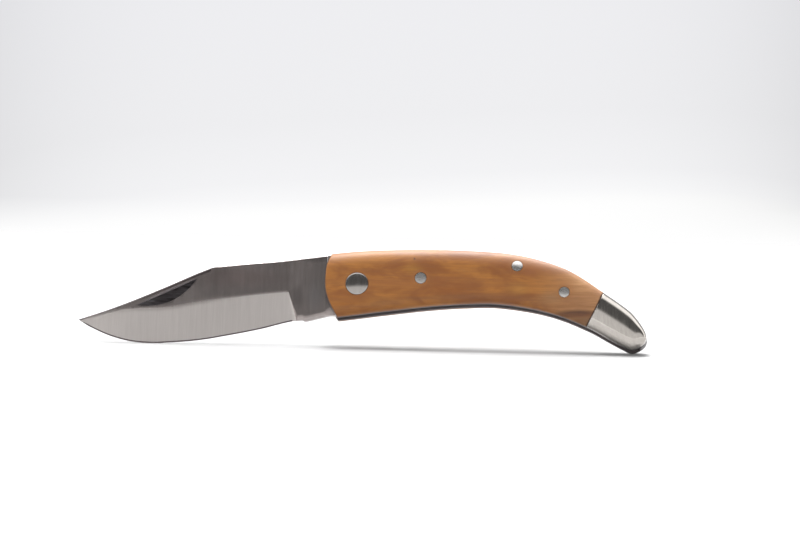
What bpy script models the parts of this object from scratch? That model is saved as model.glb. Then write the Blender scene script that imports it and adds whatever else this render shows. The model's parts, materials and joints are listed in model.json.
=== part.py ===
"""Folding pocket knife with a slipjoint backspring, open, standing on its belly and butt.

The knife lies in the XZ plane: tip at -X, butt at +X, spine up, thickness along Y.
The side with the nail nick faces -Y. Outlines are written in millimetres from the
pivot's centre, and one empty puts the pivot at its place above the ground.
"""

import math

import bmesh
import bpy
from mathutils import Vector

MM = 0.001

# Place of the pivot above the midpoint of the open knife, with belly and butt on the ground.
PIVOT_X = -1.28
PIVOT_HEIGHT = 16.91

# Layers across the knife, as distances from its middle plane.
BLADE_HALF = 1.0
WASHER_IN, WASHER_OUT = 1.1, 1.3
SPRING_HALF = 1.3
LINER_IN, LINER_OUT = 1.4, 2.2
COVER_IN = 2.3
COVER_EDGE = 2.6
COVER_OUT = 5.5

# Clearance between pieces that touch.
GAP = 0.1

# Handle outline, from the front end to the butt's nose.
HANDLE_TOP = [(-10.5, 8.85), (-5.3, 9.38), (0.3, 9.98), (9, 10.5), (23, 10.8), (34, 10.55),
              (42.5, 9.95), (50.9, 8.3), (59.4, 5.25), (69.0, -0.85), (76.4, -6.1),
              (79.3, -9.5), (80.8, -12.0), (81.25, -13.6)]
HANDLE_BOTTOM = [(-10.5, -9.45), (-5.3, -8.95), (6.5, -7.25), (20.5, -5.4), (30, -4.6),
                 (38.5, -4.35), (48.4, -5.5), (57, -7.6), (65.3, -11.0), (71, -14.1),
                 (75.6, -16.4), (77.2, -16.85), (78.9, -16.3), (80.6, -15.1), (81.25, -13.6)]
HANDLE_FRONT = [(-6.7, 11.0), (-7.75, 8.2), (-8.65, 5.4), (-8.98, 1.0), (-8.75, -1.7),
                (-7.9, -4.65), (-6.4, -7.5), (-4.2, -10.8)]
HANDLE_STATIONS = 56

# The covers are flat in the middle and rounded toward the outline. Toward the butt the flat
# vanishes: there the two rounds meet, and the upper one is squarer than a circle.
TOP_SHOULDER, TOP_SHARE, TOP_STEPS = 5.2, 0.46, 7
BOTTOM_SHOULDER, BOTTOM_SHARE, BOTTOM_STEPS = 2.7, 0.255, 6
BUTT_TOP_SHARE, BUTT_BOTTOM_SHARE, BUTT_POWER = 0.37, 0.63, 3.0
BUTT_FROM, BUTT_TO = 44.0, 64.0
ROUND_POWER = 2.0
NOSE_ROUNDING = 3.2

# Joint between wood and bolster, from above the handle to below it.
COVER_JOINT = [(71.4, 2.6), (69.0, -1.1), (67.6, -4.4), (65.9, -8.0), (62.6, -13.6)]
JOINT_HALF_GAP = 0.08

# How far cutters and plans run past the handle.
PAST_HANDLE = 20.0
PAST_COVER = COVER_OUT + 1

# Pins: place from the pivot, and radius.
FORE_PIN, FORE_PIN_R = (17.8, 1.95), 1.56
AFT_PIN, AFT_PIN_R = (58.0, -1.4), 1.44
SPRING_PIN, SPRING_PIN_R = (44.7, 5.95), 1.5
REAR_PIN, REAR_PIN_R = (70.6, -3.7), 0.8
RIVET_UPPER, RIVET_LOWER, RIVET_R = (71.6, -9.2), (76.6, -13.4), 0.75
BLIND_END, BLIND_HOLE_END = 3.5, 3.7
PIN_INNER_END = 1.5

# Two-piece pivot: a barrel with a head, and a rivet with a head and a stem inside the barrel.
HEAD_R, HEAD_SEAT, HEAD_DOME, DOME_STEPS = 3.14, 4.6, 0.28, 5
BARREL_R, BARREL_END = 2.0, -4.2
BARREL_BORE_R, BARREL_BORE_END = 1.3, 3.8
STEM_R, STEM_END = 1.2, 3.5
WASHER_R = 4.3

# Blade outline, from the tip.
TIP = (-78.7, -10.5)
EDGE = [TIP, (-75.3, -12.5), (-69.5, -15.0), (-63.8, -16.45), (-58.1, -16.9), (-52.4, -16.62),
        (-44, -15.75), (-35.6, -14.15), (-27.2, -12.3), (-19.0, -10.05), (-15.3, -9.55)]
BACK = [TIP, (-69.8, -7.45), (-61.5, -4.0), (-53.1, -0.2), (-45.9, 3.2), (-42.2, 4.75),
        (-40.6, 5.2), (-38.5, 5.4), (-30.8, 6.3), (-22.3, 7.15), (-14, 8.3), (-8.95, 9.0)]
GRIND = [(-78, -10.4), (-74.2, -9.35), (-71.4, -8.6), (-68.6, -8.05), (-65.8, -7.7),
         (-63, -7.47), (-57.3, -7.2), (-50.3, -6.45), (-46.1, -5.55), (-40.5, -4.3),
         (-34.9, -3.35), (-28, -2.35), (-21.1, -1.6), (-14, -1.0)]
RICASSO = [(-15.3, -9.55), (-14.9, -9.8), (-14.3, -9.86), (-10.5, -8.9), (-7.7, -8.15)]

# Blade sections: widths measured down from the back or up from the edge, and half thicknesses
# as shares of the blade's. The swedge runs along the clip and fades into the spine's chamfer.
SWEDGE, SWEDGE_SHARE, SWEDGE_END, SWEDGE_FADE = 0.35, 0.65, -42.0, 1.0
SPINE_CHAMFER, SPINE_SHARE = 0.2, 0.86
CUTTING_BEVEL, CUTTING_BEVEL_HALF, EDGE_HALF = 0.4, 0.1, 0.03
RICASSO_CHAMFER, RICASSO_EDGE_HALF = 0.7, 0.5
FULL_THICKNESS_WIDTH = 8.0

# No row of the blade comes closer to its edge or its back than these shares of its width.
MOST_CUTTING, MOST_SWEDGE = 0.2, 0.33
LEAST_GRIND, MOST_GRIND = 0.3, 0.85

# Places of the blade's sections, and the plunge, whose wall leans back toward the spine.
TIP_STATIONS = [-78.3, -77.6, -76.6, -75.4, -74.0, -72.4, -70.4]
BEVEL_STATIONS = 28
PLUNGE, PLUNGE_WIDTH, PLUNGE_STEPS = -18.2, 1.2, 3
RICASSO_STATIONS = [-16.2, -15.3, -14.9, -14.3, -13.0, -11.6, -10.3]
LEAN, LEAN_START = 2.35, -46.0

# Tang: two flats that the spring rests on, joined by a round cam, and the shoulder that
# meets the spring's front end.
SPRING_FACE = 6.07
TANG_FLAT = SPRING_FACE - GAP
CAM_R = 6.75
CLOSED_ANGLE = math.radians(163)
SHOULDER = -8.95
TANG_STATIONS = [-8.9, -7.7, -6.25, -4.0, -2.0, 0.0, 1.6]
CAM_STEPS = 10

# Inner line of the backspring, from its front end to the wall behind the closed tip.
SPRING_FRONT = -8.8
SPRING_INNER = [(SPRING_FRONT, SPRING_FACE), (4, SPRING_FACE), (17, SPRING_FACE), (27, 6.6),
                (36, 6.2), (41.5, 3.9), (46.0, 3.3), (55, 1.55), (60.5, 0.15), (65.8, -1.95),
                (70.85, -5.2), (76.3, -9.5), (78.6, -11.8), (79.2, -13.2), (79.25, -15.9)]

# Nail nick: a groove cut by a wide double cone. Its floor rises over NICK_HEIGHT below the
# nick's line and over NICK_LIP above it.
NICK_START, NICK_END = (-62.2, -6.2), (-45.5, 1.8)
NICK_DEPTH, NICK_HEIGHT, NICK_LIP, NICK_STEPS = 0.55, 2.9, 0.45, 14
NICK_PAST, NICK_CLEAR = 1.3, 2.0

# Points closer than this are one point.
SAME_PLACE = 0.0001
ROUND_STEPS = 36
PIVOT_STEPS = 48
SPAN_STEPS = 6
FINE_SPAN_STEPS = 20
SHARP_ANGLE = math.radians(35)

# Plain colours, metal or not, and roughness, one for each material of the record.
LOOKS = {
    "olive_wood": ((0.34, 0.15, 0.05), 0.0, 0.50),
    "liner_steel": ((0.40, 0.39, 0.38), 1.0, 0.40),
    "spring_steel": ((0.42, 0.41, 0.40), 1.0, 0.38),
    "bolster_steel": ((0.56, 0.55, 0.53), 1.0, 0.28),
    "pin_steel": ((0.55, 0.55, 0.54), 1.0, 0.30),
    "pivot_steel": ((0.58, 0.58, 0.57), 1.0, 0.20),
    "washer_bronze": ((0.60, 0.38, 0.18), 1.0, 0.40),
    "satin_steel": ((0.47, 0.45, 0.43), 1.0, 0.36),
}


def clear_scene():
    for old in list(bpy.data.objects):
        bpy.data.objects.remove(old)


def material(name, colour, metallic, roughness):
    made = bpy.data.materials.new(name)
    made.use_nodes = True
    shader = made.node_tree.nodes["Principled BSDF"]
    shader.inputs["Base Color"].default_value = (*colour, 1)
    shader.inputs["Metallic"].default_value = metallic
    shader.inputs["Roughness"].default_value = roughness
    return made


def add_object(name, bm, parent, look=None, origin=(0, 0)):
    """Object from a bmesh in millimetres, with its origin at that place from its parent."""
    bmesh.ops.recalc_face_normals(bm, faces=bm.faces)
    bmesh.ops.translate(bm, verts=bm.verts, vec=(-origin[0], 0, -origin[1]))
    bmesh.ops.scale(bm, verts=bm.verts, vec=(MM, MM, MM))
    mesh = bpy.data.meshes.new(name)
    bm.to_mesh(mesh)
    bm.free()
    made = bpy.data.objects.new(name, mesh)
    bpy.context.collection.objects.link(made)
    made.parent = parent
    made.location = (origin[0] * MM, 0, origin[1] * MM)
    if look:
        mesh.materials.append(look)
        mesh.shade_smooth()
        mesh.set_sharp_from_angle(angle=SHARP_ANGLE)
    else:
        made.hide_render = True
        made.display_type = "WIRE"
    return made


def cut(target, tools, operation="DIFFERENCE"):
    for tool in tools:
        boolean = target.modifiers.new(tool.name, "BOOLEAN")
        boolean.operation = operation
        boolean.object = tool


def blend(a, b, slope_a, slope_b, run, share):
    """Cubic between two values with given slopes at its ends."""
    rest = 1 - share
    return (a * (rest * rest * (1 + 2 * share)) + b * (share * share * (1 + 2 * rest))
            + (slope_a * rest - slope_b * share) * (run * share * rest))


def slopes(places, values):
    """Slope at each place, from its neighbours."""
    last = len(places) - 1
    pairs = [(max(i - 1, 0), min(i + 1, last)) for i in range(len(places))]
    return [(values[b] - values[a]) / (places[b] - places[a]) for a, b in pairs]


def smooth_path(points, steps=SPAN_STEPS):
    """Smooth curve through the points, each span in the same number of steps."""
    points = [Vector(point) for point in points]
    places = [0.0]
    for a, b in zip(points, points[1:]):
        places.append(places[-1] + (b - a).length)
    turns = slopes(places, points)
    path = []
    for i in range(len(points) - 1):
        run = places[i + 1] - places[i]
        for step in range(steps):
            path.append(blend(points[i], points[i + 1], turns[i], turns[i + 1], run, step / steps))
    return path + [points[-1]]


def height(points, x):
    """Height at x of the smooth line through points that run in +X."""
    places = [point[0] for point in points]
    heights = [point[1] for point in points]
    turns = slopes(places, heights)
    i = max(k for k in range(len(places) - 1) if k == 0 or places[k] <= x)
    run = places[i + 1] - places[i]
    share = min(max((x - places[i]) / run, 0), 1)
    return blend(heights[i], heights[i + 1], turns[i], turns[i + 1], run, share)


def even_points(points, count):
    """The smooth curve through the points, as count equal lengths."""
    path = smooth_path(points, FINE_SPAN_STEPS)
    lengths = [0.0]
    for a, b in zip(path, path[1:]):
        lengths.append(lengths[-1] + (b - a).length)
    even = []
    span = 0
    for step in range(count + 1):
        wanted = lengths[-1] * step / count
        while span < len(path) - 2 and lengths[span + 1] < wanted:
            span += 1
        share = (wanted - lengths[span]) / (lengths[span + 1] - lengths[span])
        even.append(path[span].lerp(path[span + 1], share))
    return even


def plate(outline, near, far):
    """Flat plate: a closed outline between two distances along Y."""
    bm = bmesh.new()
    corners = [bm.verts.new((x, near, z)) for x, z in outline]
    face = bm.faces.new(corners)
    moved = bmesh.ops.extrude_face_region(bm, geom=[face])["geom"]
    bmesh.ops.translate(bm, verts=[v for v in moved if isinstance(v, bmesh.types.BMVert)],
                        vec=(0, far - near, 0))
    return bm


def turned(profile, centre, steps=ROUND_STEPS, ring=False):
    """Round piece about an axis along Y: the profile gives (radius, distance along Y)."""
    bm = bmesh.new()
    start = [bm.verts.new((centre[0] + radius, y, centre[1])) for radius, y in profile]
    edges = [bm.edges.new(pair) for pair in zip(start, start[1:])]
    if ring:
        edges.append(bm.edges.new((start[-1], start[0])))
    bmesh.ops.spin(bm, geom=start + edges, cent=(centre[0], 0, centre[1]), axis=(0, 1, 0),
                   angle=math.tau, steps=steps, use_merge=True)
    bmesh.ops.remove_doubles(bm, verts=bm.verts, dist=SAME_PLACE)
    return bm


def rod(centre, radius, near, far, steps=ROUND_STEPS):
    return turned([(0, near), (radius, near), (radius, far), (0, far)], centre, steps)


def loft(rings, start_cap=False, end_cap=False):
    """Closed body through rings of equally many points; points at one place become one."""
    bm = bmesh.new()
    rows = [[bm.verts.new(point) for point in ring] for ring in rings]
    for row, following in zip(rows, rows[1:]):
        for i in range(len(row)):
            j = (i + 1) % len(row)
            bm.faces.new((row[i], row[j], following[j], following[i]))
    if start_cap:
        bm.faces.new(rows[0])
    if end_cap:
        bm.faces.new(rows[-1])
    bmesh.ops.remove_doubles(bm, verts=bm.verts, dist=SAME_PLACE)
    return bm


def smooth_share(place, start, stop):
    """Smooth change from 0 to 1 between two places."""
    share = min(max((place - start) / (stop - start), 0), 1)
    return share * share * (3 - 2 * share)


def quarter_round(share, power=ROUND_POWER):
    """Height of a quarter circle, or of a squarer round, from 0 at its edge to 1 at its top."""
    return max(0.0, 1 - (1 - min(share, 1)) ** power) ** (1 / power)


def shoulder_steps(steps):
    """Shares of a shoulder's width that follow its round evenly."""
    return [1 - math.cos(math.pi / 2 * step / steps) for step in range(steps + 1)]


def handle_lines():
    return even_points(HANDLE_TOP, HANDLE_STATIONS), even_points(HANDLE_BOTTOM, HANDLE_STATIONS)


def handle_section(bottom, top, nose):
    """Ring of the handle's surface, up its front side and down its back side."""
    width = (top - bottom).length
    middle = (top + bottom) / 2
    near_butt = smooth_share(middle.x, BUTT_FROM, BUTT_TO)
    lower = min(BOTTOM_SHOULDER, BOTTOM_SHARE * width)
    upper = min(TOP_SHOULDER, TOP_SHARE * width)
    lower += (BUTT_BOTTOM_SHARE * width - lower) * near_butt
    upper += (BUTT_TOP_SHARE * width - upper) * near_butt
    power = ROUND_POWER + (BUTT_POWER - ROUND_POWER) * near_butt
    distances = [lower * share for share in shoulder_steps(BOTTOM_STEPS)]
    distances += [width - upper * share for share in reversed(shoulder_steps(TOP_STEPS))]
    fullness = quarter_round((middle - nose).length / NOSE_ROUNDING)
    front = []
    for distance in distances:
        place, bulge = bottom, 0.0
        if width > SAME_PLACE:
            place = bottom.lerp(top, distance / width)
            bulge = quarter_round(distance / lower) * quarter_round((width - distance) / upper, power)
        front.append((place.x, -COVER_EDGE - (COVER_OUT - COVER_EDGE) * bulge * fullness, place.y))
    return front + [(x, -y, z) for x, y, z in reversed(front)]


def handle_form(parent):
    """Outer form of the whole handle, which trims the covers and the ends of the pins."""
    top, bottom = handle_lines()
    nose = Vector(HANDLE_TOP[-1])
    rings = [handle_section(low, high, nose) for low, high in zip(bottom, top)]
    return add_object("handle_form", loft(rings, start_cap=True), parent)


def cover_plan(wood):
    """Side view of a wood scale or of a bolster, larger than the handle above and below."""
    side = -JOINT_HALF_GAP if wood else JOINT_HALF_GAP
    joint = [(point.x + side, point.y) for point in smooth_path(COVER_JOINT)]
    if wood:
        front = [tuple(point) for point in reversed(smooth_path(HANDLE_FRONT))]
        return joint + front + [(front[-1][0], PAST_HANDLE), (joint[0][0], PAST_HANDLE)]
    end = HANDLE_TOP[-1][0] + PAST_HANDLE
    return joint + [(joint[-1][0], -PAST_HANDLE), (end, -PAST_HANDLE), (end, joint[0][1])]


def liner_plan():
    """Side view of a liner: the handle's own outline, longer than it at the front."""
    top, bottom = handle_lines()
    return [tuple(point) for point in top + bottom[-2::-1]]


def room_ahead(parent):
    """Room in front of the handle, bounded by its curved front end."""
    front = [tuple(point) for point in smooth_path(HANDLE_FRONT)]
    ahead = HANDLE_TOP[0][0] - PAST_HANDLE
    outline = front + [(ahead, front[-1][1]), (ahead, front[0][1])]
    return add_object("room_ahead", plate(outline, -COVER_OUT, COVER_OUT), parent)


def bore_tools(parent):
    """Cutters for the holes that the pins, the rivets and the pivot pass through."""
    pin = PAST_COVER
    head = HEAD_R + GAP
    hole = BARREL_R + GAP
    seat = HEAD_SEAT - GAP
    pivot = [(0, -pin), (head, -pin), (head, -seat), (hole, -seat), (hole, seat), (head, seat),
             (head, pin), (0, pin)]
    tools = {"pivot": turned(pivot, (0, 0), PIVOT_STEPS)}
    for name, centre, radius, end in (
            ("fore", FORE_PIN, FORE_PIN_R, pin), ("aft", AFT_PIN, AFT_PIN_R, pin),
            ("spring", SPRING_PIN, SPRING_PIN_R, pin), ("rear", REAR_PIN, REAR_PIN_R, BLIND_HOLE_END),
            ("upper", RIVET_UPPER, RIVET_R, BLIND_HOLE_END),
            ("lower", RIVET_LOWER, RIVET_R, BLIND_HOLE_END)):
        tools[name] = rod(centre, radius + GAP, -end, end)
    return {name: add_object("bore_" + name, bm, parent) for name, bm in tools.items()}


def mirrored(side, near, far):
    """The two distances along Y, for the front side (-1) or the back side (+1)."""
    return side * near, side * far


def bevel_section(x, wall=0.0):
    """Rows of the ground blade at a place of its edge, as (x, z, half thickness) up to the back.

    wall runs from 0 on the bevel to 1 on the full thickness behind the plunge line.
    """
    back_x = x - LEAN * smooth_share(x, LEAN_START, PLUNGE)
    edge = height(EDGE, x)
    back = height(BACK, back_x)
    on_spine = smooth_share(back_x, SWEDGE_END - SWEDGE_FADE, SWEDGE_END + SWEDGE_FADE)
    swedge = back - min(SWEDGE + (SPINE_CHAMFER - SWEDGE) * on_spine, (back - edge) * MOST_SWEDGE)
    half = BLADE_HALF * min(1, (swedge - edge) / FULL_THICKNESS_WIDTH)
    cutting = edge + min(CUTTING_BEVEL, (swedge - edge) * MOST_CUTTING)
    cutting_half = EDGE_HALF + (CUTTING_BEVEL_HALF - EDGE_HALF) * half / BLADE_HALF
    ground = swedge - cutting
    grind = min(max(height(GRIND, back_x), cutting + ground * LEAST_GRIND), cutting + ground * MOST_GRIND)
    rise = 1 - math.sqrt(1 - wall * wall)
    edge_half = EDGE_HALF + (RICASSO_EDGE_HALF - EDGE_HALF) * rise
    cutting_half += (BLADE_HALF - cutting_half) * rise
    back_half = half * (SWEDGE_SHARE + (SPINE_SHARE - SWEDGE_SHARE) * on_spine)
    return [(x, edge, edge_half), (x, cutting, cutting_half), (back_x, grind, half),
            (back_x, swedge, half), (back_x, back, back_half)]


def ricasso_section(x):
    """Rows of the full-thickness blade between the plunge line and the shoulder."""
    behind_plunge = (SHOULDER - x) / (SHOULDER - PLUNGE - PLUNGE_WIDTH)
    back_x = x - LEAN * behind_plunge
    low = height(RICASSO, x) if x > RICASSO[0][0] else height(EDGE, x)
    back = height(BACK, back_x)
    return [(x, low, RICASSO_EDGE_HALF), (x, low + RICASSO_CHAMFER, BLADE_HALF),
            (back_x, height(GRIND, back_x), BLADE_HALF),
            (back_x, back - SPINE_CHAMFER, BLADE_HALF), (back_x, back, BLADE_HALF * SPINE_SHARE)]


def tang_section(x):
    """Rows of the tang: flats for the open and the closed blade, and the cam about the pivot."""
    cam = math.sqrt(max(0.0, CAM_R * CAM_R - x * x))
    closed_flat = (x * math.sin(CLOSED_ANGLE) - TANG_FLAT) / -math.cos(CLOSED_ANGLE)
    low = max(height(RICASSO, x), closed_flat)
    top = TANG_FLAT
    if x > 0:
        low = max(low, -cam)
        top = min(top, cam)
    return [(x, low + (top - low) * row / 4, BLADE_HALF) for row in range(5)]


def blade_sections():
    start = TIP_STATIONS[-1]
    step = (PLUNGE - start) / BEVEL_STATIONS
    bevel = TIP_STATIONS + [start + step * k for k in range(1, BEVEL_STATIONS + 1)]
    wall = [k / PLUNGE_STEPS for k in range(1, PLUNGE_STEPS + 1)]
    flat_end = math.asin(TANG_FLAT / CAM_R)
    cam = [CAM_R * math.cos(flat_end * (1 - k / CAM_STEPS)) for k in range(CAM_STEPS + 1)]
    sections = [[(*TIP, 0.0)] * 5]
    sections += [bevel_section(x) for x in bevel]
    sections += [bevel_section(PLUNGE + PLUNGE_WIDTH * share, share) for share in wall]
    sections += [ricasso_section(x) for x in [*RICASSO_STATIONS, SHOULDER]]
    sections += [tang_section(x) for x in TANG_STATIONS + cam]
    return sections


def nick_tool(parent):
    """Sector of a wide double cone, whose ridge runs along the nick's straight line."""
    start, end = Vector(NICK_START), Vector(NICK_END)
    half_length = (end - start).length / 2
    run = (end - start).normalized()
    down = Vector((run.y, -run.x))
    middle = (start + end) / 2
    radius = (half_length ** 2 + NICK_DEPTH ** 2) / (2 * NICK_DEPTH)
    axis_y = -BLADE_HALF - radius + NICK_DEPTH
    reach = NICK_PAST * math.asin(half_length / radius)
    floor = (radius - NICK_PAST * NICK_DEPTH, NICK_PAST * NICK_HEIGHT)
    lip = (radius - NICK_PAST * NICK_DEPTH, -NICK_PAST * NICK_LIP)
    inner = radius - NICK_CLEAR
    profile = [(radius, 0), floor, (inner, floor[1]), (inner, lip[1]), lip]
    rings = []
    for step in range(NICK_STEPS + 1):
        turn = reach * (2 * step / NICK_STEPS - 1)
        ring = []
        for size, drop in profile:
            place = middle + run * (size * math.sin(turn)) + down * drop
            ring.append((place.x, axis_y + size * math.cos(turn), place.y))
        rings.append(ring)
    return add_object("nick_tool", loft(rings, start_cap=True, end_cap=True), parent)


def make_blade(steel, parent):
    rings = []
    for section in blade_sections():
        front = [(x, -half, z) for x, z, half in section]
        rings.append(front + [(x, -y, z) for x, y, z in reversed(front)])
    blade = add_object("blade", loft(rings), parent, steel)
    pivot_hole = rod((0, 0), BARREL_R + GAP, -COVER_IN, COVER_IN, PIVOT_STEPS)
    cut(blade, [add_object("bore_blade", pivot_hole, parent), nick_tool(parent)])


def make_backspring(steel, parent, bores):
    top, bottom = handle_lines()
    inner = [tuple(point) for point in smooth_path(SPRING_INNER)]
    butt = [tuple(point) for point in bottom if point.x > SPRING_INNER[-1][0] + GAP]
    back = [tuple(point) for point in top if SPRING_FRONT + GAP < point.x < HANDLE_TOP[-1][0]]
    front_end = (SPRING_FRONT, height(HANDLE_TOP, SPRING_FRONT))
    outline = inner + butt + list(reversed(back)) + [front_end]
    spring = add_object("backspring", plate(outline, -SPRING_HALF, SPRING_HALF), parent, steel,
                        origin=SPRING_PIN)
    cut(spring, [bores["spring"], bores["rear"]])


def make_side(side, word, looks, parent, form, ahead, bores):
    """One side of the handle: liner, wood scale, bolster and their short pins."""
    liner = add_object("liner_" + word, plate(liner_plan(), *mirrored(side, LINER_IN, LINER_OUT)),
                       parent, looks["liner_steel"])
    cut(liner, [ahead, *bores.values()])

    scale = add_object("scale_" + word, plate(cover_plan(True), *mirrored(side, COVER_IN, PAST_COVER)),
                       parent, looks["olive_wood"])
    cut(scale, [form], "INTERSECT")
    cut(scale, [bores[name] for name in ("pivot", "fore", "aft", "spring")])

    bolster = add_object("bolster_" + word,
                         plate(cover_plan(False), *mirrored(side, COVER_IN, PAST_COVER)),
                         parent, looks["bolster_steel"])
    cut(bolster, [form], "INTERSECT")
    cut(bolster, [bores[name] for name in ("rear", "upper", "lower")])

    for name, centre, radius in (("fore", FORE_PIN, FORE_PIN_R), ("aft", AFT_PIN, AFT_PIN_R)):
        pin = add_object(f"scale_pin_{name}_{word}",
                         rod(centre, radius, *mirrored(side, PIN_INNER_END, PAST_COVER)),
                         parent, looks["pin_steel"])
        cut(pin, [form], "INTERSECT")

    for name, centre in (("upper", RIVET_UPPER), ("lower", RIVET_LOWER)):
        add_object(f"bolster_rivet_{name}_{word}",
                   rod(centre, RIVET_R, *mirrored(side, PIN_INNER_END, BLIND_END)),
                   parent, looks["pin_steel"])

    washer = [(BARREL_R + GAP, WASHER_IN), (WASHER_R, WASHER_IN), (WASHER_R, WASHER_OUT),
              (BARREL_R + GAP, WASHER_OUT)]
    ring = turned([(radius, side * y) for radius, y in washer], (0, 0), PIVOT_STEPS, ring=True)
    add_object("pivot_washer_" + word, ring, parent, looks["washer_bronze"])


def head_profile(side):
    """Head of the pivot from its domed middle to its seat, as (radius, distance along Y)."""
    dome = [(HEAD_R * k / DOME_STEPS, COVER_OUT + HEAD_DOME * (1 - (k / DOME_STEPS) ** 2))
            for k in range(DOME_STEPS + 1)]
    return [(radius, side * y) for radius, y in [*dome, (HEAD_R, HEAD_SEAT)]]


def make_pivot(look, parent):
    barrel = head_profile(1) + [(BARREL_R, HEAD_SEAT), (BARREL_R, BARREL_END),
                                (BARREL_BORE_R, BARREL_END), (BARREL_BORE_R, BARREL_BORE_END),
                                (0, BARREL_BORE_END)]
    rivet = head_profile(-1) + [(STEM_R, -HEAD_SEAT), (STEM_R, STEM_END), (0, STEM_END)]
    add_object("pivot_barrel", turned(barrel, (0, 0), PIVOT_STEPS), parent, look)
    add_object("pivot_rivet", turned(rivet, (0, 0), PIVOT_STEPS), parent, look)


def make_spring_pins(look, parent, form):
    middle = add_object("spring_pin_middle", rod(SPRING_PIN, SPRING_PIN_R, -PAST_COVER, PAST_COVER),
                        parent, look)
    cut(middle, [form], "INTERSECT")
    add_object("spring_pin_rear", rod(REAR_PIN, REAR_PIN_R, -BLIND_END, BLIND_END), parent, look)


def empty(name):
    made = bpy.data.objects.new(name, None)
    bpy.context.collection.objects.link(made)
    made.location = (PIVOT_X * MM, 0, PIVOT_HEIGHT * MM)
    return made


def build():
    clear_scene()
    looks = {name: material(name, *look) for name, look in LOOKS.items()}
    handle = empty("handle_frame")
    blade_frame = empty("blade_frame")
    form = handle_form(handle)
    ahead = room_ahead(handle)
    bores = bore_tools(handle)
    for side, word in ((-1, "front"), (1, "back")):
        make_side(side, word, looks, handle, form, ahead, bores)
    make_backspring(looks["spring_steel"], handle, bores)
    make_pivot(looks["pivot_steel"], handle)
    make_spring_pins(looks["pin_steel"], handle, form)
    make_blade(looks["satin_steel"], blade_frame)


build()
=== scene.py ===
# %% [markdown]
# # A folding pocket knife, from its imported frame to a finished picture
#
# The knife is open. Its blade points to -X, its spine is up, and the side with the nail nick
# looks along -Y toward the camera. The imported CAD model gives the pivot's exact place, how far
# the blade folds, and the points on which the knife rests. This lesson dresses that frame in
# finer pieces and in steel, bronze and wood.

import json
import math

import bmesh
import bpy
from mathutils import Matrix, Vector
from mathutils.bvhtree import BVHTree
from mathutils.geometry import intersect_line_line_2d


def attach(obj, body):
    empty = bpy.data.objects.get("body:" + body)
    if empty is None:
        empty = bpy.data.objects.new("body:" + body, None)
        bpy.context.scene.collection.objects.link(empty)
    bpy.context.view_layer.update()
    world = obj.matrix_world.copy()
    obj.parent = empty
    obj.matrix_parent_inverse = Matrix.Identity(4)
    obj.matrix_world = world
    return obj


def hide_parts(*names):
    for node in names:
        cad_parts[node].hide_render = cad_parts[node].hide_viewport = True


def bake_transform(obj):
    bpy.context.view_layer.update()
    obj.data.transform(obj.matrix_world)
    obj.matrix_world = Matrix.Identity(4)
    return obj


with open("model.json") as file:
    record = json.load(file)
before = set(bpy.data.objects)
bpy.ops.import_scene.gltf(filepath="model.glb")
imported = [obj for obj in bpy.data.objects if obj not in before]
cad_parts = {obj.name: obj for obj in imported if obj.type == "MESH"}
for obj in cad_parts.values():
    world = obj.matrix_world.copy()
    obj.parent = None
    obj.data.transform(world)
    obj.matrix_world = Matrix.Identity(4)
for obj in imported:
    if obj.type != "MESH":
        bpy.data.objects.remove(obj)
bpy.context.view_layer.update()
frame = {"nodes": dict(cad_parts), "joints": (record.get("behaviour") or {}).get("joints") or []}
joints = {joint["name"]: joint for joint in frame["joints"]}
print("nodes", len(frame["nodes"]))

# %% [markdown]
# ## Units
#
# A knife maker measures from the pivot, in millimetres. So does this script. The pivot's place
# comes from the frame, and one function turns millimetres from the pivot into a place in it.

# %% Units and the pivot
MM = 0.001
PIVOT = Vector(joints["blade_fold"]["pos_m"])


def at(x, y, z):
    """Place in the frame of a point given in millimetres from the pivot."""
    return PIVOT + Vector((x, y, z)) * MM


print("pivot", tuple(round(value, 5) for value in PIVOT))

# %% [markdown]
# ## The camera
#
# The photograph was taken from a little above the table with a long lens, which flattens the
# perspective. The knife leans back there, so in the knife's own upright frame the camera stands
# low and looks up at it. The part stays upright, and the table is tilted instead. The plain view
# transform shows a colour as it is written.

# %% Camera
CAMERA_PLACE = Vector((0.09468, -1.15883, -0.27650))
CAMERA_RIGHT = Vector((0.99737, 0.06380, 0.03428))
CAMERA_UP = Vector((-0.01715, -0.25173, 0.96765))
LENS = 192.06
SENSOR = 36.0
FARTHEST = 20.0

camera_data = bpy.data.cameras.new("camera")
camera_data.lens = LENS
camera_data.sensor_width = SENSOR
camera_data.clip_end = FARTHEST
camera = bpy.data.objects.new("camera", camera_data)
bpy.context.scene.collection.objects.link(camera)
turn = Matrix((CAMERA_RIGHT, CAMERA_UP, CAMERA_RIGHT.cross(CAMERA_UP))).transposed().to_4x4()
camera.matrix_world = Matrix.Translation(CAMERA_PLACE) @ turn
bpy.context.scene.camera = camera
bpy.context.scene.view_settings.view_transform = "Standard"
print("camera distance", round((CAMERA_PLACE - PIVOT).length, 3), "m")

# %% [markdown]
# ## The table
#
# The knife leans back by 19 degrees, and rests on the blade's belly and on the lower edge of
# the far bolster. The table is laid under those two places of the CAD model, and runs back to
# a pale grey backdrop. Both are plain cards here, and get their paint in a later cell.

# %% Table and backdrop
LEAN = math.radians(19)
TABLE_SIZE = 4.0
BACKDROP_AWAY = 0.42
CLEAR = 0.00005  # keeps the card from touching the steel

leaning_up = Vector((0, -math.sin(LEAN), math.cos(LEAN)))


def lowest(node):
    return min((vert.co for vert in frame["nodes"][node].data.vertices), key=leaning_up.dot).copy()


belly = lowest("blade")
butt = lowest("bolster_back")
along_knife = (butt - belly).normalized()
table_up = (leaning_up - along_knife * leaning_up.dot(along_knife)).normalized()
stage_right = (CAMERA_RIGHT - table_up * CAMERA_RIGHT.dot(table_up)).normalized()
stage_back = table_up.cross(stage_right)


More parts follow.
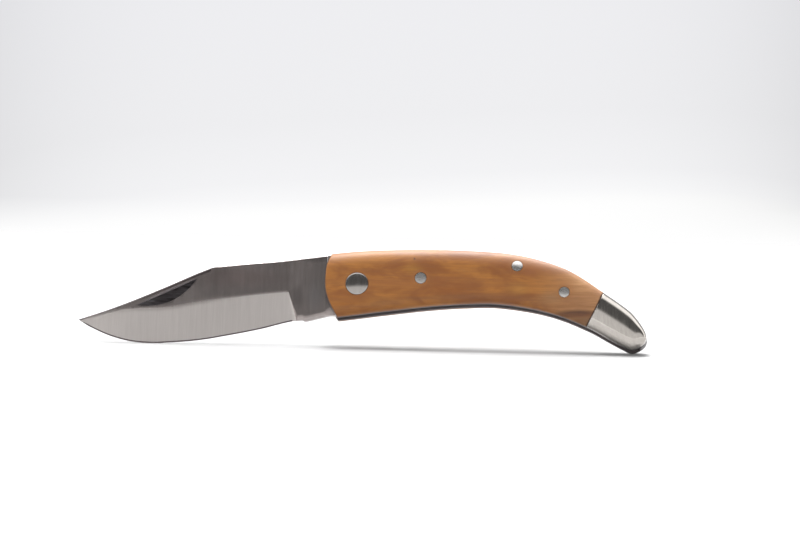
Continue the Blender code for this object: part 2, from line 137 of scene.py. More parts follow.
def on_table(right, back, up):
    """Point on or above the table, in metres from the belly's contact, as the camera sees it."""
    return belly + stage_right * right + stage_back * back + table_up * (up - CLEAR)


def stage_card(name, corners):
    bm = bmesh.new()
    bm.faces.new([bm.verts.new(corner) for corner in corners])
    mesh = bpy.data.meshes.new(name)
    bm.to_mesh(mesh)
    bm.free()
    card = bpy.data.objects.new(name, mesh)
    bpy.context.scene.collection.objects.link(card)
    return card


half = TABLE_SIZE / 2
foot = [on_table(-half, BACKDROP_AWAY, 0), on_table(half, BACKDROP_AWAY, 0)]
table = stage_card("table", [on_table(-half, -half, 0), on_table(half, -half, 0), *foot[::-1]])
backdrop = stage_card("backdrop", [*foot, on_table(half, BACKDROP_AWAY, half),
                                   on_table(-half, BACKDROP_AWAY, half)])
print("rests at", tuple(round(value, 4) for value in belly), tuple(round(value, 4) for value in butt))

# %% [markdown]
# ## Helpers for outlines
#
# A knife is drawn as a few smooth side-view lines. Each is a short list of points, joined by
# a cubic through them, as a draughtsman's spline would. Later cells walk along these lines,
# cut them where they cross, and read heights from them.

# %% Smooth lines
def cubic(a, b, slope_a, slope_b, run, share):
    """Cubic between two values with given slopes at its ends."""
    rest = 1 - share
    return (a * (rest * rest * (1 + 2 * share)) + b * (share * share * (1 + 2 * rest))
            + (slope_a * rest - slope_b * share) * (run * share * rest))


def slopes(places, values):
    last = len(places) - 1
    pairs = [(max(i - 1, 0), min(i + 1, last)) for i in range(len(places))]
    return [(values[b] - values[a]) / (places[b] - places[a]) for a, b in pairs]


def smooth_path(points, steps=20):
    points = [Vector(point) for point in points]
    places = [0.0]
    for a, b in zip(points, points[1:]):
        places.append(places[-1] + (b - a).length)
    turns = slopes(places, points)
    path = []
    for i in range(len(points) - 1):
        run = places[i + 1] - places[i]
        for step in range(steps):
            path.append(cubic(points[i], points[i + 1], turns[i], turns[i + 1], run, step / steps))
    return path + [points[-1]]


def height(points, x):
    """Height at x of the smooth line through points that run in +X."""
    places = [point[0] for point in points]
    heights = [point[1] for point in points]
    turns = slopes(places, heights)
    i = max(k for k in range(len(places) - 1) if k == 0 or places[k] <= x)
    run = places[i + 1] - places[i]
    share = min(max((x - places[i]) / run, 0), 1)
    return cubic(heights[i], heights[i + 1], turns[i], turns[i + 1], run, share)


print("a cubic is halfway at", cubic(0, 1, 0, 0, 1, 0.5))

# %% Places along lines
def along(path, share):
    """Point at a share of a path's length."""
    lengths = [0.0]
    for a, b in zip(path, path[1:]):
        lengths.append(lengths[-1] + (b - a).length)
    wanted = lengths[-1] * share
    i = max(k for k in range(len(path) - 1) if k == 0 or lengths[k] <= wanted)
    run = lengths[i + 1] - lengths[i]
    return path[i].lerp(path[i + 1], (wanted - lengths[i]) / run) if run else path[i]


def crossing(path, other):
    """Where two paths cross: the point, and the step of each path that holds it."""
    for i in range(len(path) - 1):
        for j in range(len(other) - 1):
            point = intersect_line_line_2d(path[i], path[i + 1], other[j], other[j + 1])
            if point:
                return point, i, j
    return None


def smooth_share(place, start, stop):
    """Smooth change from 0 to 1 between two places."""
    share = min(max((place - start) / (stop - start), 0), 1)
    return share * share * (3 - 2 * share)


def quarter_round(share, power=2):
    """Height of a quarter circle, or of a squarer round, from 0 at its edge to 1 at its top."""
    return max(0.0, 1 - (1 - min(share, 1)) ** power) ** (1 / power)


print("a quarter round reaches", quarter_round(0.5), "halfway")

# %% [markdown]
# ## Helpers for pieces
#
# Three ways of making metal and wood are enough for this knife. A sheet is sawn from its
# outline and bevelled. A round part is turned, which is a spin. A surface that changes along
# its length, such as a ground blade, is a grid draped over the shape row by row.

# %% Sheets, turned parts and draped surfaces
SAME_PLACE = 0.0002
TURN_STEPS = 96


def sheet(outline, near, far, edge_rounding=0.0):
    """Flat sheet from an outline, with its edges broken by a small bevel."""
    bm = bmesh.new()
    corners = [bm.verts.new((x, near, z)) for x, z in outline]
    face = bm.faces.new(corners)
    moved = bmesh.ops.extrude_face_region(bm, geom=[face])["geom"]
    raised = [item for item in moved if isinstance(item, bmesh.types.BMVert)]
    bmesh.ops.translate(bm, verts=raised, vec=(0, far - near, 0))
    if edge_rounding:
        rims = [edge for edge in bm.edges if abs(edge.verts[0].co.y - edge.verts[1].co.y) < SAME_PLACE]
        bmesh.ops.bevel(bm, geom=rims, offset=edge_rounding, segments=2, profile=0.5,
                        affect="EDGES", material=-1, clamp_overlap=True)
    return bm


def turned(profile, centre, steps=TURN_STEPS, ring=False):
    """Round part about an axis along Y, from its profile of (radius, distance along Y)."""
    bm = bmesh.new()
    start = [bm.verts.new((centre[0] + radius, y, centre[1])) for radius, y in profile]
    edges = [bm.edges.new(pair) for pair in zip(start, start[1:])]
    if ring:
        edges.append(bm.edges.new((start[-1], start[0])))
    bmesh.ops.spin(bm, geom=start + edges, cent=(centre[0], 0, centre[1]), axis=(0, 1, 0),
                   angle=math.tau, steps=steps, use_merge=True)
    bmesh.ops.remove_doubles(bm, verts=bm.verts, dist=SAME_PLACE)
    return bm


def rod(centre, radius, near, far):
    return turned([(0, near), (radius, near), (radius, far), (0, far)], centre)


def draped(columns, rows, spot, look=None):
    """Grid with one vertex for each column and row, put where spot(column, row) says.

    look(column, row) gives the material's index for the face that starts at that place.
    """
    bm = bmesh.new()
    bmesh.ops.create_grid(bm, x_segments=columns - 1, y_segments=rows - 1, size=1)

    def place(co):
        return (co.x + 1) / 2 * (columns - 1), (co.y + 1) / 2 * (rows - 1)

    if look:
        for face in bm.faces:
            column, row = place(face.calc_center_median())
            face.material_index = look(int(column), int(row))
    for vert in bm.verts:
        column, row = place(vert.co)
        vert.co = spot(round(column), round(row))
    return bm


print("turned parts have", TURN_STEPS, "sides")

# %% [markdown]
# A finished mesh is moved from millimetres to the frame, shaded smooth with its real edges
# kept sharp, and told which body carries it and which CAD nodes it stands for. Holes are cut
# with Boolean tools first. The result is applied, so no tool is left in the scene.

# %% From mesh to piece
SHARP = math.radians(28)


def to_object(name, bm, *looks):
    bmesh.ops.remove_doubles(bm, verts=bm.verts, dist=SAME_PLACE)
    bmesh.ops.recalc_face_normals(bm, faces=bm.faces)
    bmesh.ops.scale(bm, verts=bm.verts, vec=(MM, MM, MM))
    bmesh.ops.translate(bm, verts=bm.verts, vec=PIVOT)
    mesh = bpy.data.meshes.new(name)
    bm.to_mesh(mesh)
    bm.free()
    for look in looks:
        mesh.materials.append(look)
    made = bpy.data.objects.new(name, mesh)
    bpy.context.scene.collection.objects.link(made)
    return made


def cut(piece, tools):
    """Cut the tools out of the piece, and remove them."""
    for tool in tools:
        boolean = piece.modifiers.new("cut", "BOOLEAN")
        boolean.operation = "DIFFERENCE"
        boolean.object = tool
        boolean.material_mode = "TRANSFER"
    bpy.context.view_layer.update()
    whole = piece.evaluated_get(bpy.context.evaluated_depsgraph_get())
    result = bpy.data.meshes.new_from_object(whole)
    piece.modifiers.clear()
    piece.data = result
    for tool in tools:
        bpy.data.objects.remove(tool)


def finish(piece, body, node, bend=None):
    """Shade the piece, let it ride with its body, and let it stand for its CAD node.

    bend, a springy piece's fixed body and the two places between which it bends, is not used beyond
    being given: such a piece is fixed where it stands, with no body to ride with.
    """
    piece.name = node + "_piece"
    piece.data.shade_smooth()
    piece.data.set_sharp_from_angle(angle=SHARP)
    if bend:
        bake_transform(piece)
    else:
        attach(piece, body)
    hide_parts(node)
    print(piece.name, len(piece.data.polygons), "faces")


# %% [markdown]
# ## Shader nodes, written short
#
# Every finish below is built from nodes. One helper fills or links a node's sockets, another
# makes a node, and short ones stand for the nodes that are used most.

# %% Node helpers
def connect(tree, node, inputs):
    """Give each named input of a node its value, or link it to a socket."""
    for name, value in inputs.items():
        if isinstance(value, bpy.types.NodeSocket):
            tree.links.new(value, node.inputs[name])
        else:
            node.inputs[name].default_value = value


def add(tree, kind, inputs=None, **settings):
    """Node of a kind, with its settings and its inputs."""
    made = tree.nodes.new("ShaderNode" + kind)
    for name, value in settings.items():
        setattr(made, name, value)
    connect(tree, made, inputs or {})
    return made


def opaque(colour):
    """Red, green and blue with full cover. A socket stays as it is."""
    return (*colour, 1) if isinstance(colour, tuple) else colour


def mixed(tree, factor, a, b):
    """Colour mixed from a to b."""
    return add(tree, "Mix", {0: factor, 6: opaque(a), 7: opaque(b)}, data_type="RGBA").outputs[2]


def mixed_value(tree, factor, a, b):
    """Number mixed from a to b."""
    return add(tree, "Mix", {0: factor, 2: a, 3: b}, data_type="FLOAT").outputs[0]


def between(tree, value, low, high, to_low=0.0, to_high=1.0, smooth=False):
    """Value mapped from one range to another, and kept inside it."""
    kind = "SMOOTHSTEP" if smooth else "LINEAR"
    inputs = {"Value": value, "From Min": low, "From Max": high, "To Min": to_low, "To Max": to_high}
    return add(tree, "MapRange", inputs, interpolation_type=kind).outputs["Result"]


def maths(tree, operation, a, b=0.0):
    return add(tree, "Math", {0: a, 1: b}, operation=operation).outputs["Value"]


def plus(tree, base, value, factor):
    """base + value * factor."""
    return add(tree, "Math", {0: value, 1: factor, 2: base}, operation="MULTIPLY_ADD").outputs["Value"]


def vector_maths(tree, operation, a, b=(0, 0, 0), output="Vector"):
    return add(tree, "VectorMath", {0: a, 1: b}, operation=operation).outputs[output]


def noise(tree, vector, scale=1.0, detail=2.0, roughness=0.5, distortion=0.0):
    inputs = {"Vector": vector, "Scale": scale, "Detail": detail, "Roughness": roughness,
              "Distortion": distortion}
    return add(tree, "TexNoise", inputs).outputs["Fac"]


PER_MM = (1000.0,) * 3
print("patterns are written per millimetre")

# %% [markdown]
# An effect that several materials share is a node group. It gets named sockets, as the editor's
# interface gives them, and each material places it with its own values. The surface shader
# stays in the material.

# %% Helpers for groups and materials
def new_group(name, inputs, outputs):
    """Empty node group with named sockets: its tree, its input sockets and its output node."""
    tree = bpy.data.node_groups.new(name, "ShaderNodeTree")
    for socket, (kind, value) in inputs.items():
        made = tree.interface.new_socket(socket, in_out="INPUT", socket_type="NodeSocket" + kind)
        if value is not None:
            made.default_value = value
    for socket in outputs:
        tree.interface.new_socket(socket, in_out="OUTPUT", socket_type="NodeSocketFloat")
    return tree, tree.nodes.new("NodeGroupInput").outputs, tree.nodes.new("NodeGroupOutput")


def placed(tree, group, inputs):
    """Outputs of a group that is placed in a tree."""
    return add(tree, "Group", inputs, node_tree=group).outputs


def new_material(name):
    """Material, its node tree, its Principled shader and its object coordinates."""
    made = bpy.data.materials.new(name)
    made.use_nodes = True
    tree = made.node_tree
    return made, tree, tree.nodes["Principled BSDF"], add(tree, "TexCoord").outputs["Object"]


def bumped(tree, relief, depth):
    """Normal of a surface with a relief of the given depth."""
    return add(tree, "Bump", {"Strength": 1.0, "Distance": depth, "Height": relief}).outputs["Normal"]


print("groups so far", len(bpy.data.node_groups))

# %% [markdown]
# ## Grinding lines
#
# A belt or a stone leaves fine parallel lines. They are noise that is stretched along the
# lines and squeezed across them. Two sizes are mixed, because a real belt has coarse and fine
# grit, and a slower noise makes the lines fade in and out. One group serves every metal, each
# with its own direction and spacing.

# %% Group: grinding lines
FINE_GRIT, COARSE_GRIT, SLOW_PATCHES = (1.0, 2.0), (0.31, 1.0), (0.16, 2.0)
COARSE_SHARE = 0.4

grinding, ends_in, ends_out = new_group(
    "grinding_lines", {"Coordinate": ("Vector", None), "Per mm": ("Vector", (1.0, 1.0, 1.0))},
    ["Lines", "Patches"])
scaled = vector_maths(grinding, "MULTIPLY", ends_in["Coordinate"], PER_MM)
stretched = vector_maths(grinding, "MULTIPLY", scaled, ends_in["Per mm"])
fine = noise(grinding, stretched, *FINE_GRIT)
coarse = noise(grinding, stretched, *COARSE_GRIT)
connect(grinding, ends_out, {"Lines": mixed_value(grinding, COARSE_SHARE, fine, coarse),
                             "Patches": noise(grinding, scaled, *SLOW_PATCHES)})
print(grinding.name, [item.name for item in grinding.interface.items_tree])

# %% [markdown]
# ## Marks of use
#
# A carried knife has hairline scratches and a breath of skin oil. A hairline is where a
# stretched noise passes its middle value, which is a thin, nearly straight line. Two
# directions are joined. Slow noise gives the smudges. Wood and metal share this group.

# %% Group: marks of use
SCRATCH_TURNS, SCRATCH_SCALE = (0.35, -0.9), (0.05, 0.4, 0.9)
GATE_NOISE, GATE_RANGE = (0.35, 1.0), (0.52, 0.62)
SMUDGE_NOISE, SMUDGE_RANGE = (0.11, 3.0), (0.4, 0.7)

use_marks, marks_in, marks_out = new_group(
    "marks_of_use", {"Coordinate": ("Vector", None), "Width": ("Float", 0.004)},
    ["Scratches", "Smudges"])
in_mm = vector_maths(use_marks, "MULTIPLY", marks_in["Coordinate"], PER_MM)
hairlines = []
for angle in SCRATCH_TURNS:
    laid = add(use_marks, "Mapping", {"Vector": in_mm, "Rotation": (0, angle, 0),
                                      "Scale": SCRATCH_SCALE}).outputs["Vector"]
    from_middle = maths(use_marks, "SUBTRACT", noise(use_marks, laid, detail=0.0), 0.5)
    hairlines.append(maths(use_marks, "LESS_THAN", maths(use_marks, "ABSOLUTE", from_middle),
                           marks_in["Width"]))
gate = between(use_marks, noise(use_marks, in_mm, *GATE_NOISE), *GATE_RANGE)
smudge = between(use_marks, noise(use_marks, in_mm, *SMUDGE_NOISE), *SMUDGE_RANGE, smooth=True)
shown = maths(use_marks, "MULTIPLY", maths(use_marks, "MAXIMUM", *hairlines), gate)
connect(use_marks, marks_out, {"Scratches": shown, "Smudges": smudge})
print(use_marks.name, "from", len(SCRATCH_TURNS), "directions of scratches")

# %% [markdown]
# A soft spot is a mask that is 1 at a place and fades out over a distance, with its own
# stretch. On the blade's flats they paint reflections and shade, and wood has them for its
# tones and round each pin.

# %% Group: soft spot
soft_spot, spot_in, spot_out = new_group(
    "soft_spot", {"Coordinate": ("Vector", None), "Centre": ("Vector", (0, 0, 0)),
                  "Size": ("Vector", (MM, MM, MM)), "Inner": ("Float", 0.0)}, ["Mask"])
offset = vector_maths(soft_spot, "SUBTRACT", spot_in["Coordinate"], spot_in["Centre"])
sized = vector_maths(soft_spot, "DIVIDE", offset, spot_in["Size"])
reach = vector_maths(soft_spot, "LENGTH", sized, output="Value")
fade = between(soft_spot, reach, spot_in["Inner"], 1.0, 1.0, 0.0, smooth=True)
connect(soft_spot, spot_out, {"Mask": fade})


def spotted(tree, coordinate, tone, spots):
    """Tone with soft spots.

    Each spot is a centre and a size in mm, a colour, a strength and an inner share.
    """
    for centre, size, colour, strength, inner in spots:
        inputs = {"Coordinate": coordinate, "Centre": at(centre[0], 0, centre[1]),
                  "Size": (size[0] * MM, 1.0, size[1] * MM), "Inner": inner}
        mask = placed(tree, soft_spot, inputs)["Mask"]
        tone = mixed(tree, maths(tree, "MULTIPLY", mask, strength), tone, colour)
    return tone


print(soft_spot.name, "ready")

# %% [markdown]
# ## Steel
#
# All the steels share one recipe: a metallic surface whose roughness and height follow the
# grinding lines, with hairlines and smudges on top. What differs is the colour, the polish,
# the direction of the lines and how deep they are. The blade has two looks, and a point
# attribute, written with its mesh, blends them across the soft grind line.

# %% Steel recipe
LINE_RANGE, PATCH_RANGE, PATCH_SHADE = (0.35, 0.65), (0.3, 0.7), 0.25
SMUDGE_GLOSS, SCRATCH_DEPTH = 0.04, 0.3


def steel_nodes(tree, place, colour, dark, roughness, per_mm, line_height, line_gloss=0.06, spots=()):
    """Colour, roughness and height in mm of a steel that is darker in its grinding lines."""
    ground = placed(tree, grinding, {"Coordinate": place, "Per mm": per_mm})
    marks = placed(tree, use_marks, {"Coordinate": place})
    lines_only = between(tree, ground["Lines"], *LINE_RANGE)
    shade = between(tree, ground["Patches"], *PATCH_RANGE, 0.0, PATCH_SHADE)
    tone = mixed(tree, shade, mixed(tree, lines_only, dark, colour), dark)
    gloss = plus(tree, roughness - line_gloss / 2, lines_only, line_gloss)
    gloss = plus(tree, gloss, marks["Smudges"], SMUDGE_GLOSS)
    carved = plus(tree, ground["Lines"], marks["Scratches"], -SCRATCH_DEPTH)
    return spotted(tree, place, tone, spots), gloss, maths(tree, "MULTIPLY", carved, line_height)


def steel(name, other=None, attribute="", **look):
    """Steel of one look, or of two, blended where a point attribute goes from 0 to 1."""
    made, tree, shader, place = new_material(name)
    tone, gloss, relief = steel_nodes(tree, place, **look)
    if other:
        share = add(tree, "Attribute", attribute_name=attribute).outputs["Fac"]
        other_tone, other_gloss, other_relief = steel_nodes(tree, place, **other)
        tone = mixed(tree, share, tone, other_tone)
        gloss = mixed_value(tree, share, gloss, other_gloss)
        relief = mixed_value(tree, share, relief, other_relief)
    connect(tree, shader, {"Base Color": tone, "Roughness": gloss, "Metallic": 1.0,
                           "Normal": bumped(tree, relief, MM)})
    return made


print("steel lines change its roughness by up to", SMUDGE_GLOSS, "where skin oil is")

# %% [markdown]
# The blade's flats are finely ground and show dark reflections, with painted reflections and
# shade as soft spots on them, and its bevels are matt with lines across them. The bolsters and
# the pivot are polished, the pins less so, and the liners and the spring show only their sawn
# edges, which are painted dark as shade.

# %% The knife's steels
BEVEL_SHARE = "bevel_share"
# Painted reflections and shade on the flats: lighter in the ricasso's middle, darker by the plunge, the
# spine, the handle and the ricasso's lower edge, and a warm darker band along the upper flat.
FLAT_PAINTED_REFLECTIONS = [
    ((-12.0, -2.5), (3.6, 6.5), (0.40, 0.38, 0.38), 0.45, 0.0),
    ((-16.8, -3.0), (2.2, 5.0), (0.24, 0.21, 0.21), 0.35, 0.0),
    ((-12.5, 8.2), (6.0, 1.6), (0.18, 0.16, 0.16), 0.55, 0.1),
    ((-8.4, 1.0), (1.3, 9.0), (0.144, 0.12, 0.114), 0.60, 0.2),
    ((-34.0, 2.5), (20.0, 5.0), (0.32, 0.245, 0.234), 0.50, 0.0),
    ((-11.0, -9.2), (6.5, 1.5), (0.30, 0.27, 0.262), 0.50, 0.3),
]
BEVEL = dict(colour=(0.53, 0.495, 0.475), dark=(0.475, 0.44, 0.422), roughness=0.38,
             per_mm=(6.0, 1.0, 0.12), line_height=0.002)
BLADE_STEEL = steel("blade_faces", BEVEL, BEVEL_SHARE, colour=(0.385, 0.342, 0.33),
                    dark=(0.348, 0.306, 0.294), roughness=0.22, per_mm=(3.0, 1.0, 0.2),
                    line_height=0.0003, line_gloss=0.02, spots=FLAT_PAINTED_REFLECTIONS)
# Dark steel for the cutting edge and the back near the point. It also paints a dark reflection as a line
# under the clip.
EDGE_AND_PAINTED_LINE_STEEL = steel("cutting_edge_and_painted_line", colour=(0.145, 0.12, 0.12), dark=(0.096, 0.078, 0.078),
                   roughness=0.30, per_mm=(6.0, 1.0, 0.5), line_height=0.002)
# The nick's floor is painted nearly black, as shade in the hollow.
NICK_IN_PAINTED_SHADE = steel("nail_nick_painted_shade", colour=(0.085, 0.078, 0.083), dark=(0.018, 0.015, 0.015),
                   roughness=0.34, per_mm=(0.35, 0.5, 2.2), line_height=0.006)
LIP_STEEL = steel("nick_lip", colour=(0.265, 0.24, 0.245), dark=(0.215, 0.19, 0.198),
                  roughness=0.32, per_mm=(3.0, 1.0, 1.0), line_height=0.001)
BOLSTER_STEEL = steel("bolster_satin", colour=(0.52, 0.488, 0.452), dark=(0.455, 0.425, 0.39),
                      roughness=0.11, per_mm=(2.6, 3.0, 0.35), line_height=0.0008)
# The liners and the spring are painted dark, as shade under the handle.
LINER_IN_PAINTED_SHADE = steel("liner_edge_painted_shade", colour=(0.12, 0.105, 0.105), dark=(0.07, 0.06, 0.06),
                    roughness=0.40, per_mm=(0.3, 2.0, 3.0), line_height=0.002)
SPRING_IN_PAINTED_SHADE = steel("spring_satin_painted_shade", colour=(0.20, 0.185, 0.185), dark=(0.135, 0.12, 0.12),
                     roughness=0.36, per_mm=(0.3, 6.0, 1.0), line_height=0.002)
PIVOT_STEEL = steel("pivot_polish", colour=(0.44, 0.415, 0.395), dark=(0.395, 0.37, 0.35),
                    roughness=0.14, per_mm=(4.0, 1.0, 0.5), line_height=0.0004)
PIN_STEEL = steel("pin_polish", colour=(0.62, 0.60, 0.585), dark=(0.53, 0.515, 0.50),
                  roughness=0.26, per_mm=(1.0, 1.0, 4.0), line_height=0.0008)
print("steels", [made.name for made in bpy.data.materials if made.name != "Material"])

# %% [markdown]
# ## Bronze
#
# The washers beside the tang are thin bronze. Only their rims show. Bronze is a warm metal
# that tarnishes browner in its hollows, so a slow noise mixes two browns.

# %% Washer bronze
BRIGHT_BRONZE, TARNISHED_BRONZE = (0.72, 0.45, 0.20), (0.42, 0.24, 0.11)
TARNISH_RANGE, BRONZE_LINES, BRONZE_GLOSS = (0.4, 0.6), (0.3, 0.7), (0.28, 0.42)

BRONZE, tree, shader, spot = new_material("washer_bronze")
ground = placed(tree, grinding, {"Coordinate": spot, "Per mm": (1.0, 4.0, 1.0)})
tarnish = between(tree, ground["Patches"], *TARNISH_RANGE, smooth=True)
connect(tree, shader, {
    "Base Color": mixed(tree, tarnish, BRIGHT_BRONZE, TARNISHED_BRONZE), "Metallic": 1.0,
    "Roughness": between(tree, ground["Lines"], *BRONZE_LINES, *BRONZE_GLOSS)})
print(BRONZE.name)

# %% [markdown]
# ## Wood
#
# The scales are a warm, dense fruit wood, sawn so that its fibres run along the handle. Four
# things make it wood: slow clouds of tone, growth bands that bend gently, fine fibres, and
# short dark pores. Each is a noise with its own number of changes per millimetre along X, Y
# and Z.

# %% Group: wood figure
PORE_RANGE = (0.66, 0.76)

figure, wood_in, wood_out = new_group(
    "wood_figure", {"Coordinate": ("Vector", None)}, ["Clouds", "Bands", "Fibres", "Pores"])
wood_mm = vector_maths(figure, "MULTIPLY", wood_in["Coordinate"], PER_MM)


def wood_noise(per_mm, detail, roughness=0.5, distortion=0.0):
    return noise(figure, vector_maths(figure, "MULTIPLY", wood_mm, per_mm), 1.0, detail, roughness,
                 distortion)


connect(figure, wood_out, {
    "Clouds": wood_noise((0.075, 0.12, 0.20), 3.0, 0.6, 0.4),
    "Bands": wood_noise((0.022, 0.35, 0.55), 2.0, 0.55, 0.7),
    "Fibres": wood_noise((0.11, 2.2, 3.4), 3.0, 0.7),
    "Pores": between(figure, wood_noise((0.40, 5.0, 7.0), 1.0), *PORE_RANGE)})
print(figure.name, "with", len(figure.nodes), "nodes")

# %% Places and radii of the pins
WOOD_PINS = {"fore": ((17.8, 1.95), 1.56), "aft": ((58.0, -1.4), 1.44),
             "spring": ((44.7, 5.95), 1.5)}
REAR_PIN = ((70.6, -3.7), 0.8)
RIVETS = [((71.6, -9.2), 0.75), ((76.6, -13.4), 0.75)]
HEAD_RADIUS = 3.14
print("pins in the wood", sorted(WOOD_PINS))

# %% [markdown]
# The wood shader mixes its browns from the figure and from soft spots: a reddish band between
# the pivot and the first pin, yellower places, and one dark streak low down near the bolster,
# where the wood is greyer. Below that streak the wood is darker still, as painted shade. A
# stronger tone is laid round each pin and round the pivot. The wood's roughness is a little lower
# on the dense bands, its height follows fibres and pores, and a thin coat stands for the oil. A
# point attribute, written with the mesh, darkens the wood's ends.

# %% Tones of the wood
END_SHADE = "end_shade"
WOOD_TONES_AND_PAINTED_SHADE = [
    ((10.5, 0.5), (12.0, 1.8), (0.189, 0.063, 0.017), 0.55, 0.0),
    ((23.0, 1.6), (9.0, 1.5), (0.189, 0.063, 0.019), 0.35, 0.0),
    ((15.5, 4.6), (4.5, 2.2), (0.284, 0.138, 0.019), 0.45, 0.0),
    ((45.0, -0.8), (5.0, 3.2), (0.327, 0.162, 0.031), 0.45, 0.0),
    ((6.0, -4.5), (9.0, 2.4), (0.310, 0.146, 0.030), 0.35, 0.0),
    ((48.2, 4.2), (3.0, 1.9), (0.224, 0.075, 0.028), 0.45, 0.0),
    ((54.5, -3.0), (5.5, 2.6), (0.249, 0.146, 0.068), 0.50, 0.0),
    ((63.5, 0.5), (6.5, 2.6), (0.447, 0.249, 0.115), 0.50, 0.0),
    # Painted shade: the low corner by the bolster is darker.
    ((63.5, -9.4), (6.5, 2.6), (0.085, 0.044, 0.020), 0.70, 0.2),
    ((61.8, -7.35), (9.0, 1.35), (0.034, 0.013, 0.008), 0.95, 0.25),
    ((15.9, 7.5), (0.42, 0.42), (0.043, 0.017, 0.007), 1.0, 0.2),
]
PIN_RING_SPOTS = [(centre, (radius + 1.9, radius + 1.4), (0.20, 0.078, 0.024), 0.40, 0.45)
                for centre, radius in [*WOOD_PINS.values(), ((0, 0), HEAD_RADIUS)]]
DARK_CLOUD, PALE_CLOUD, CLOUD_RANGE = (0.172, 0.053, 0.007), (0.280, 0.108, 0.016), (0.35, 0.65)
GREY_WOOD, GREY_FROM, GREY_TO, MOST_GREY = (0.29, 0.150, 0.068), 46.0, 66.0, 0.8
BAND_TONE, BAND_RANGE, MOST_BAND = (0.17, 0.058, 0.014), (0.42, 0.62), 0.42
FIBRE_TONE, FIBRE_RANGE, MOST_FIBRE = (0.15, 0.058, 0.016), (0.40, 0.64), 0.36
PORE_TONE, MOST_PORE = (0.10, 0.040, 0.016), 0.35
END_TONE, MOST_END = (0.045, 0.022, 0.015), 0.85
GLOSS_RANGE, WOOD_GLOSS, WOOD_SMUDGE = (0.3, 0.7), (0.55, 0.46), 0.06
FIBRE_RELIEF, WOOD_RELIEF = 0.4, 0.012 * MM
print(len(WOOD_TONES_AND_PAINTED_SHADE), "spots in the wood and", len(PIN_RING_SPOTS), "round the pins")

# %% Wood material
WOOD, tree, shader, spot = new_material("fruit_wood")
grain = placed(tree, figure, {"Coordinate": spot})
marks = placed(tree, use_marks, {"Coordinate": spot, "Width": 0.002})
along_handle = add(tree, "SeparateXYZ", {"Vector": spot}).outputs["X"]
greyer = between(tree, along_handle, at(GREY_FROM, 0, 0).x, at(GREY_TO, 0, 0).x, 0.0, MOST_GREY,
                 smooth=True)
cloudy = between(tree, grain["Clouds"], *CLOUD_RANGE, smooth=True)
banded = between(tree, grain["Bands"], *BAND_RANGE, 0.0, MOST_BAND, smooth=True)
fibrous = between(tree, grain["Fibres"], *FIBRE_RANGE, 0.0, MOST_FIBRE)
ends = add(tree, "Attribute", attribute_name=END_SHADE).outputs["Fac"]

tone = mixed(tree, greyer, mixed(tree, cloudy, DARK_CLOUD, PALE_CLOUD), GREY_WOOD)
tone = spotted(tree, spot, tone, WOOD_TONES_AND_PAINTED_SHADE)
tone = mixed(tree, fibrous, mixed(tree, banded, tone, BAND_TONE), FIBRE_TONE)
tone = spotted(tree, spot, tone, PIN_RING_SPOTS)
tone = mixed(tree, maths(tree, "MULTIPLY", grain["Pores"], MOST_PORE), tone, PORE_TONE)
tone = mixed(tree, maths(tree, "MULTIPLY", ends, MOST_END), tone, END_TONE)
gloss = between(tree, grain["Bands"], *GLOSS_RANGE, *WOOD_GLOSS)
dents = plus(tree, grain["Pores"], marks["Scratches"], SCRATCH_DEPTH)
relief = maths(tree, "SUBTRACT", maths(tree, "MULTIPLY", grain["Fibres"], FIBRE_RELIEF), dents)
connect(tree, shader, {
    "Base Color": tone, "Roughness": plus(tree, gloss, marks["Smudges"], WOOD_SMUDGE),
    "Normal": bumped(tree, relief, WOOD_RELIEF), "Specular IOR Level": 0.35, "Coat Weight": 0.05,
    "Coat Roughness": 0.30})
print(WOOD.name, len(tree.nodes), "nodes")

# %% [markdown]
# ## The handle's outline
#
# Wood, bolsters, liners and spring were ground together, so they share one outline. The front
# of the wood and of the liners is a shallow arc across the blade. The wood meets the bolster
# on another arc. Where these lines cross gives the corners of every part of the handle.

# %% Handle lines
HANDLE_TOP = [(-10.5, 8.85), (-5.3, 9.38), (0.3, 9.98), (9, 10.5), (23, 10.8), (34, 10.55),
              (42.5, 9.95), (50.9, 8.3), (59.4, 5.25), (69.0, -0.85), (76.4, -6.1),
              (79.3, -9.5), (80.8, -12.0), (81.25, -13.6)]
HANDLE_BOTTOM = [(-10.5, -9.45), (-5.3, -8.95), (6.5, -7.25), (20.5, -5.4), (30, -4.6),
                 (38.5, -4.35), (48.4, -5.5), (57, -7.6), (65.3, -11.0), (71, -14.1),
                 (75.6, -16.4), (77.2, -16.85), (78.9, -16.3), (80.6, -15.1), (81.25, -13.6)]
HANDLE_FRONT = [(-6.7, 11.0), (-7.75, 8.2), (-8.65, 5.4), (-8.98, 1.0), (-8.75, -1.7),
                (-7.9, -4.65), (-6.4, -7.5), (-4.2, -10.8)]
COVER_JOINT = [(71.4, 2.6), (69.0, -1.1), (67.6, -4.4), (65.9, -8.0), (62.6, -13.6)]
JOINT_HALF_GAP = 0.1

top_line = smooth_path(HANDLE_TOP)
bottom_line = smooth_path(HANDLE_BOTTOM)
front_line = smooth_path(HANDLE_FRONT)


def joint_line(side):
    """The joint between wood (-1) and bolster (+1), a hair apart."""
    return [point + Vector((side * JOINT_HALF_GAP, 0)) for point in smooth_path(COVER_JOINT)]


def stretch(path, start, stop):
    """Part of a path between two places on it, each a (point, step) pair."""
    return [start[0]] + path[start[1] + 1:stop[1] + 1] + [stop[0]]


def corners(line):
    """Where a line down across the handle meets the top and the bottom outline."""
    top_point, top_step, upper = crossing(top_line, line)
    bottom_point, bottom_step, lower = crossing(bottom_line, line)
    across = stretch(line, (top_point, upper), (bottom_point, lower))
    return (top_point, top_step), (bottom_point, bottom_step), across[::-1]


print("handle is", round(HANDLE_TOP[-1][0] - HANDLE_FRONT[3][0], 1), "mm long")

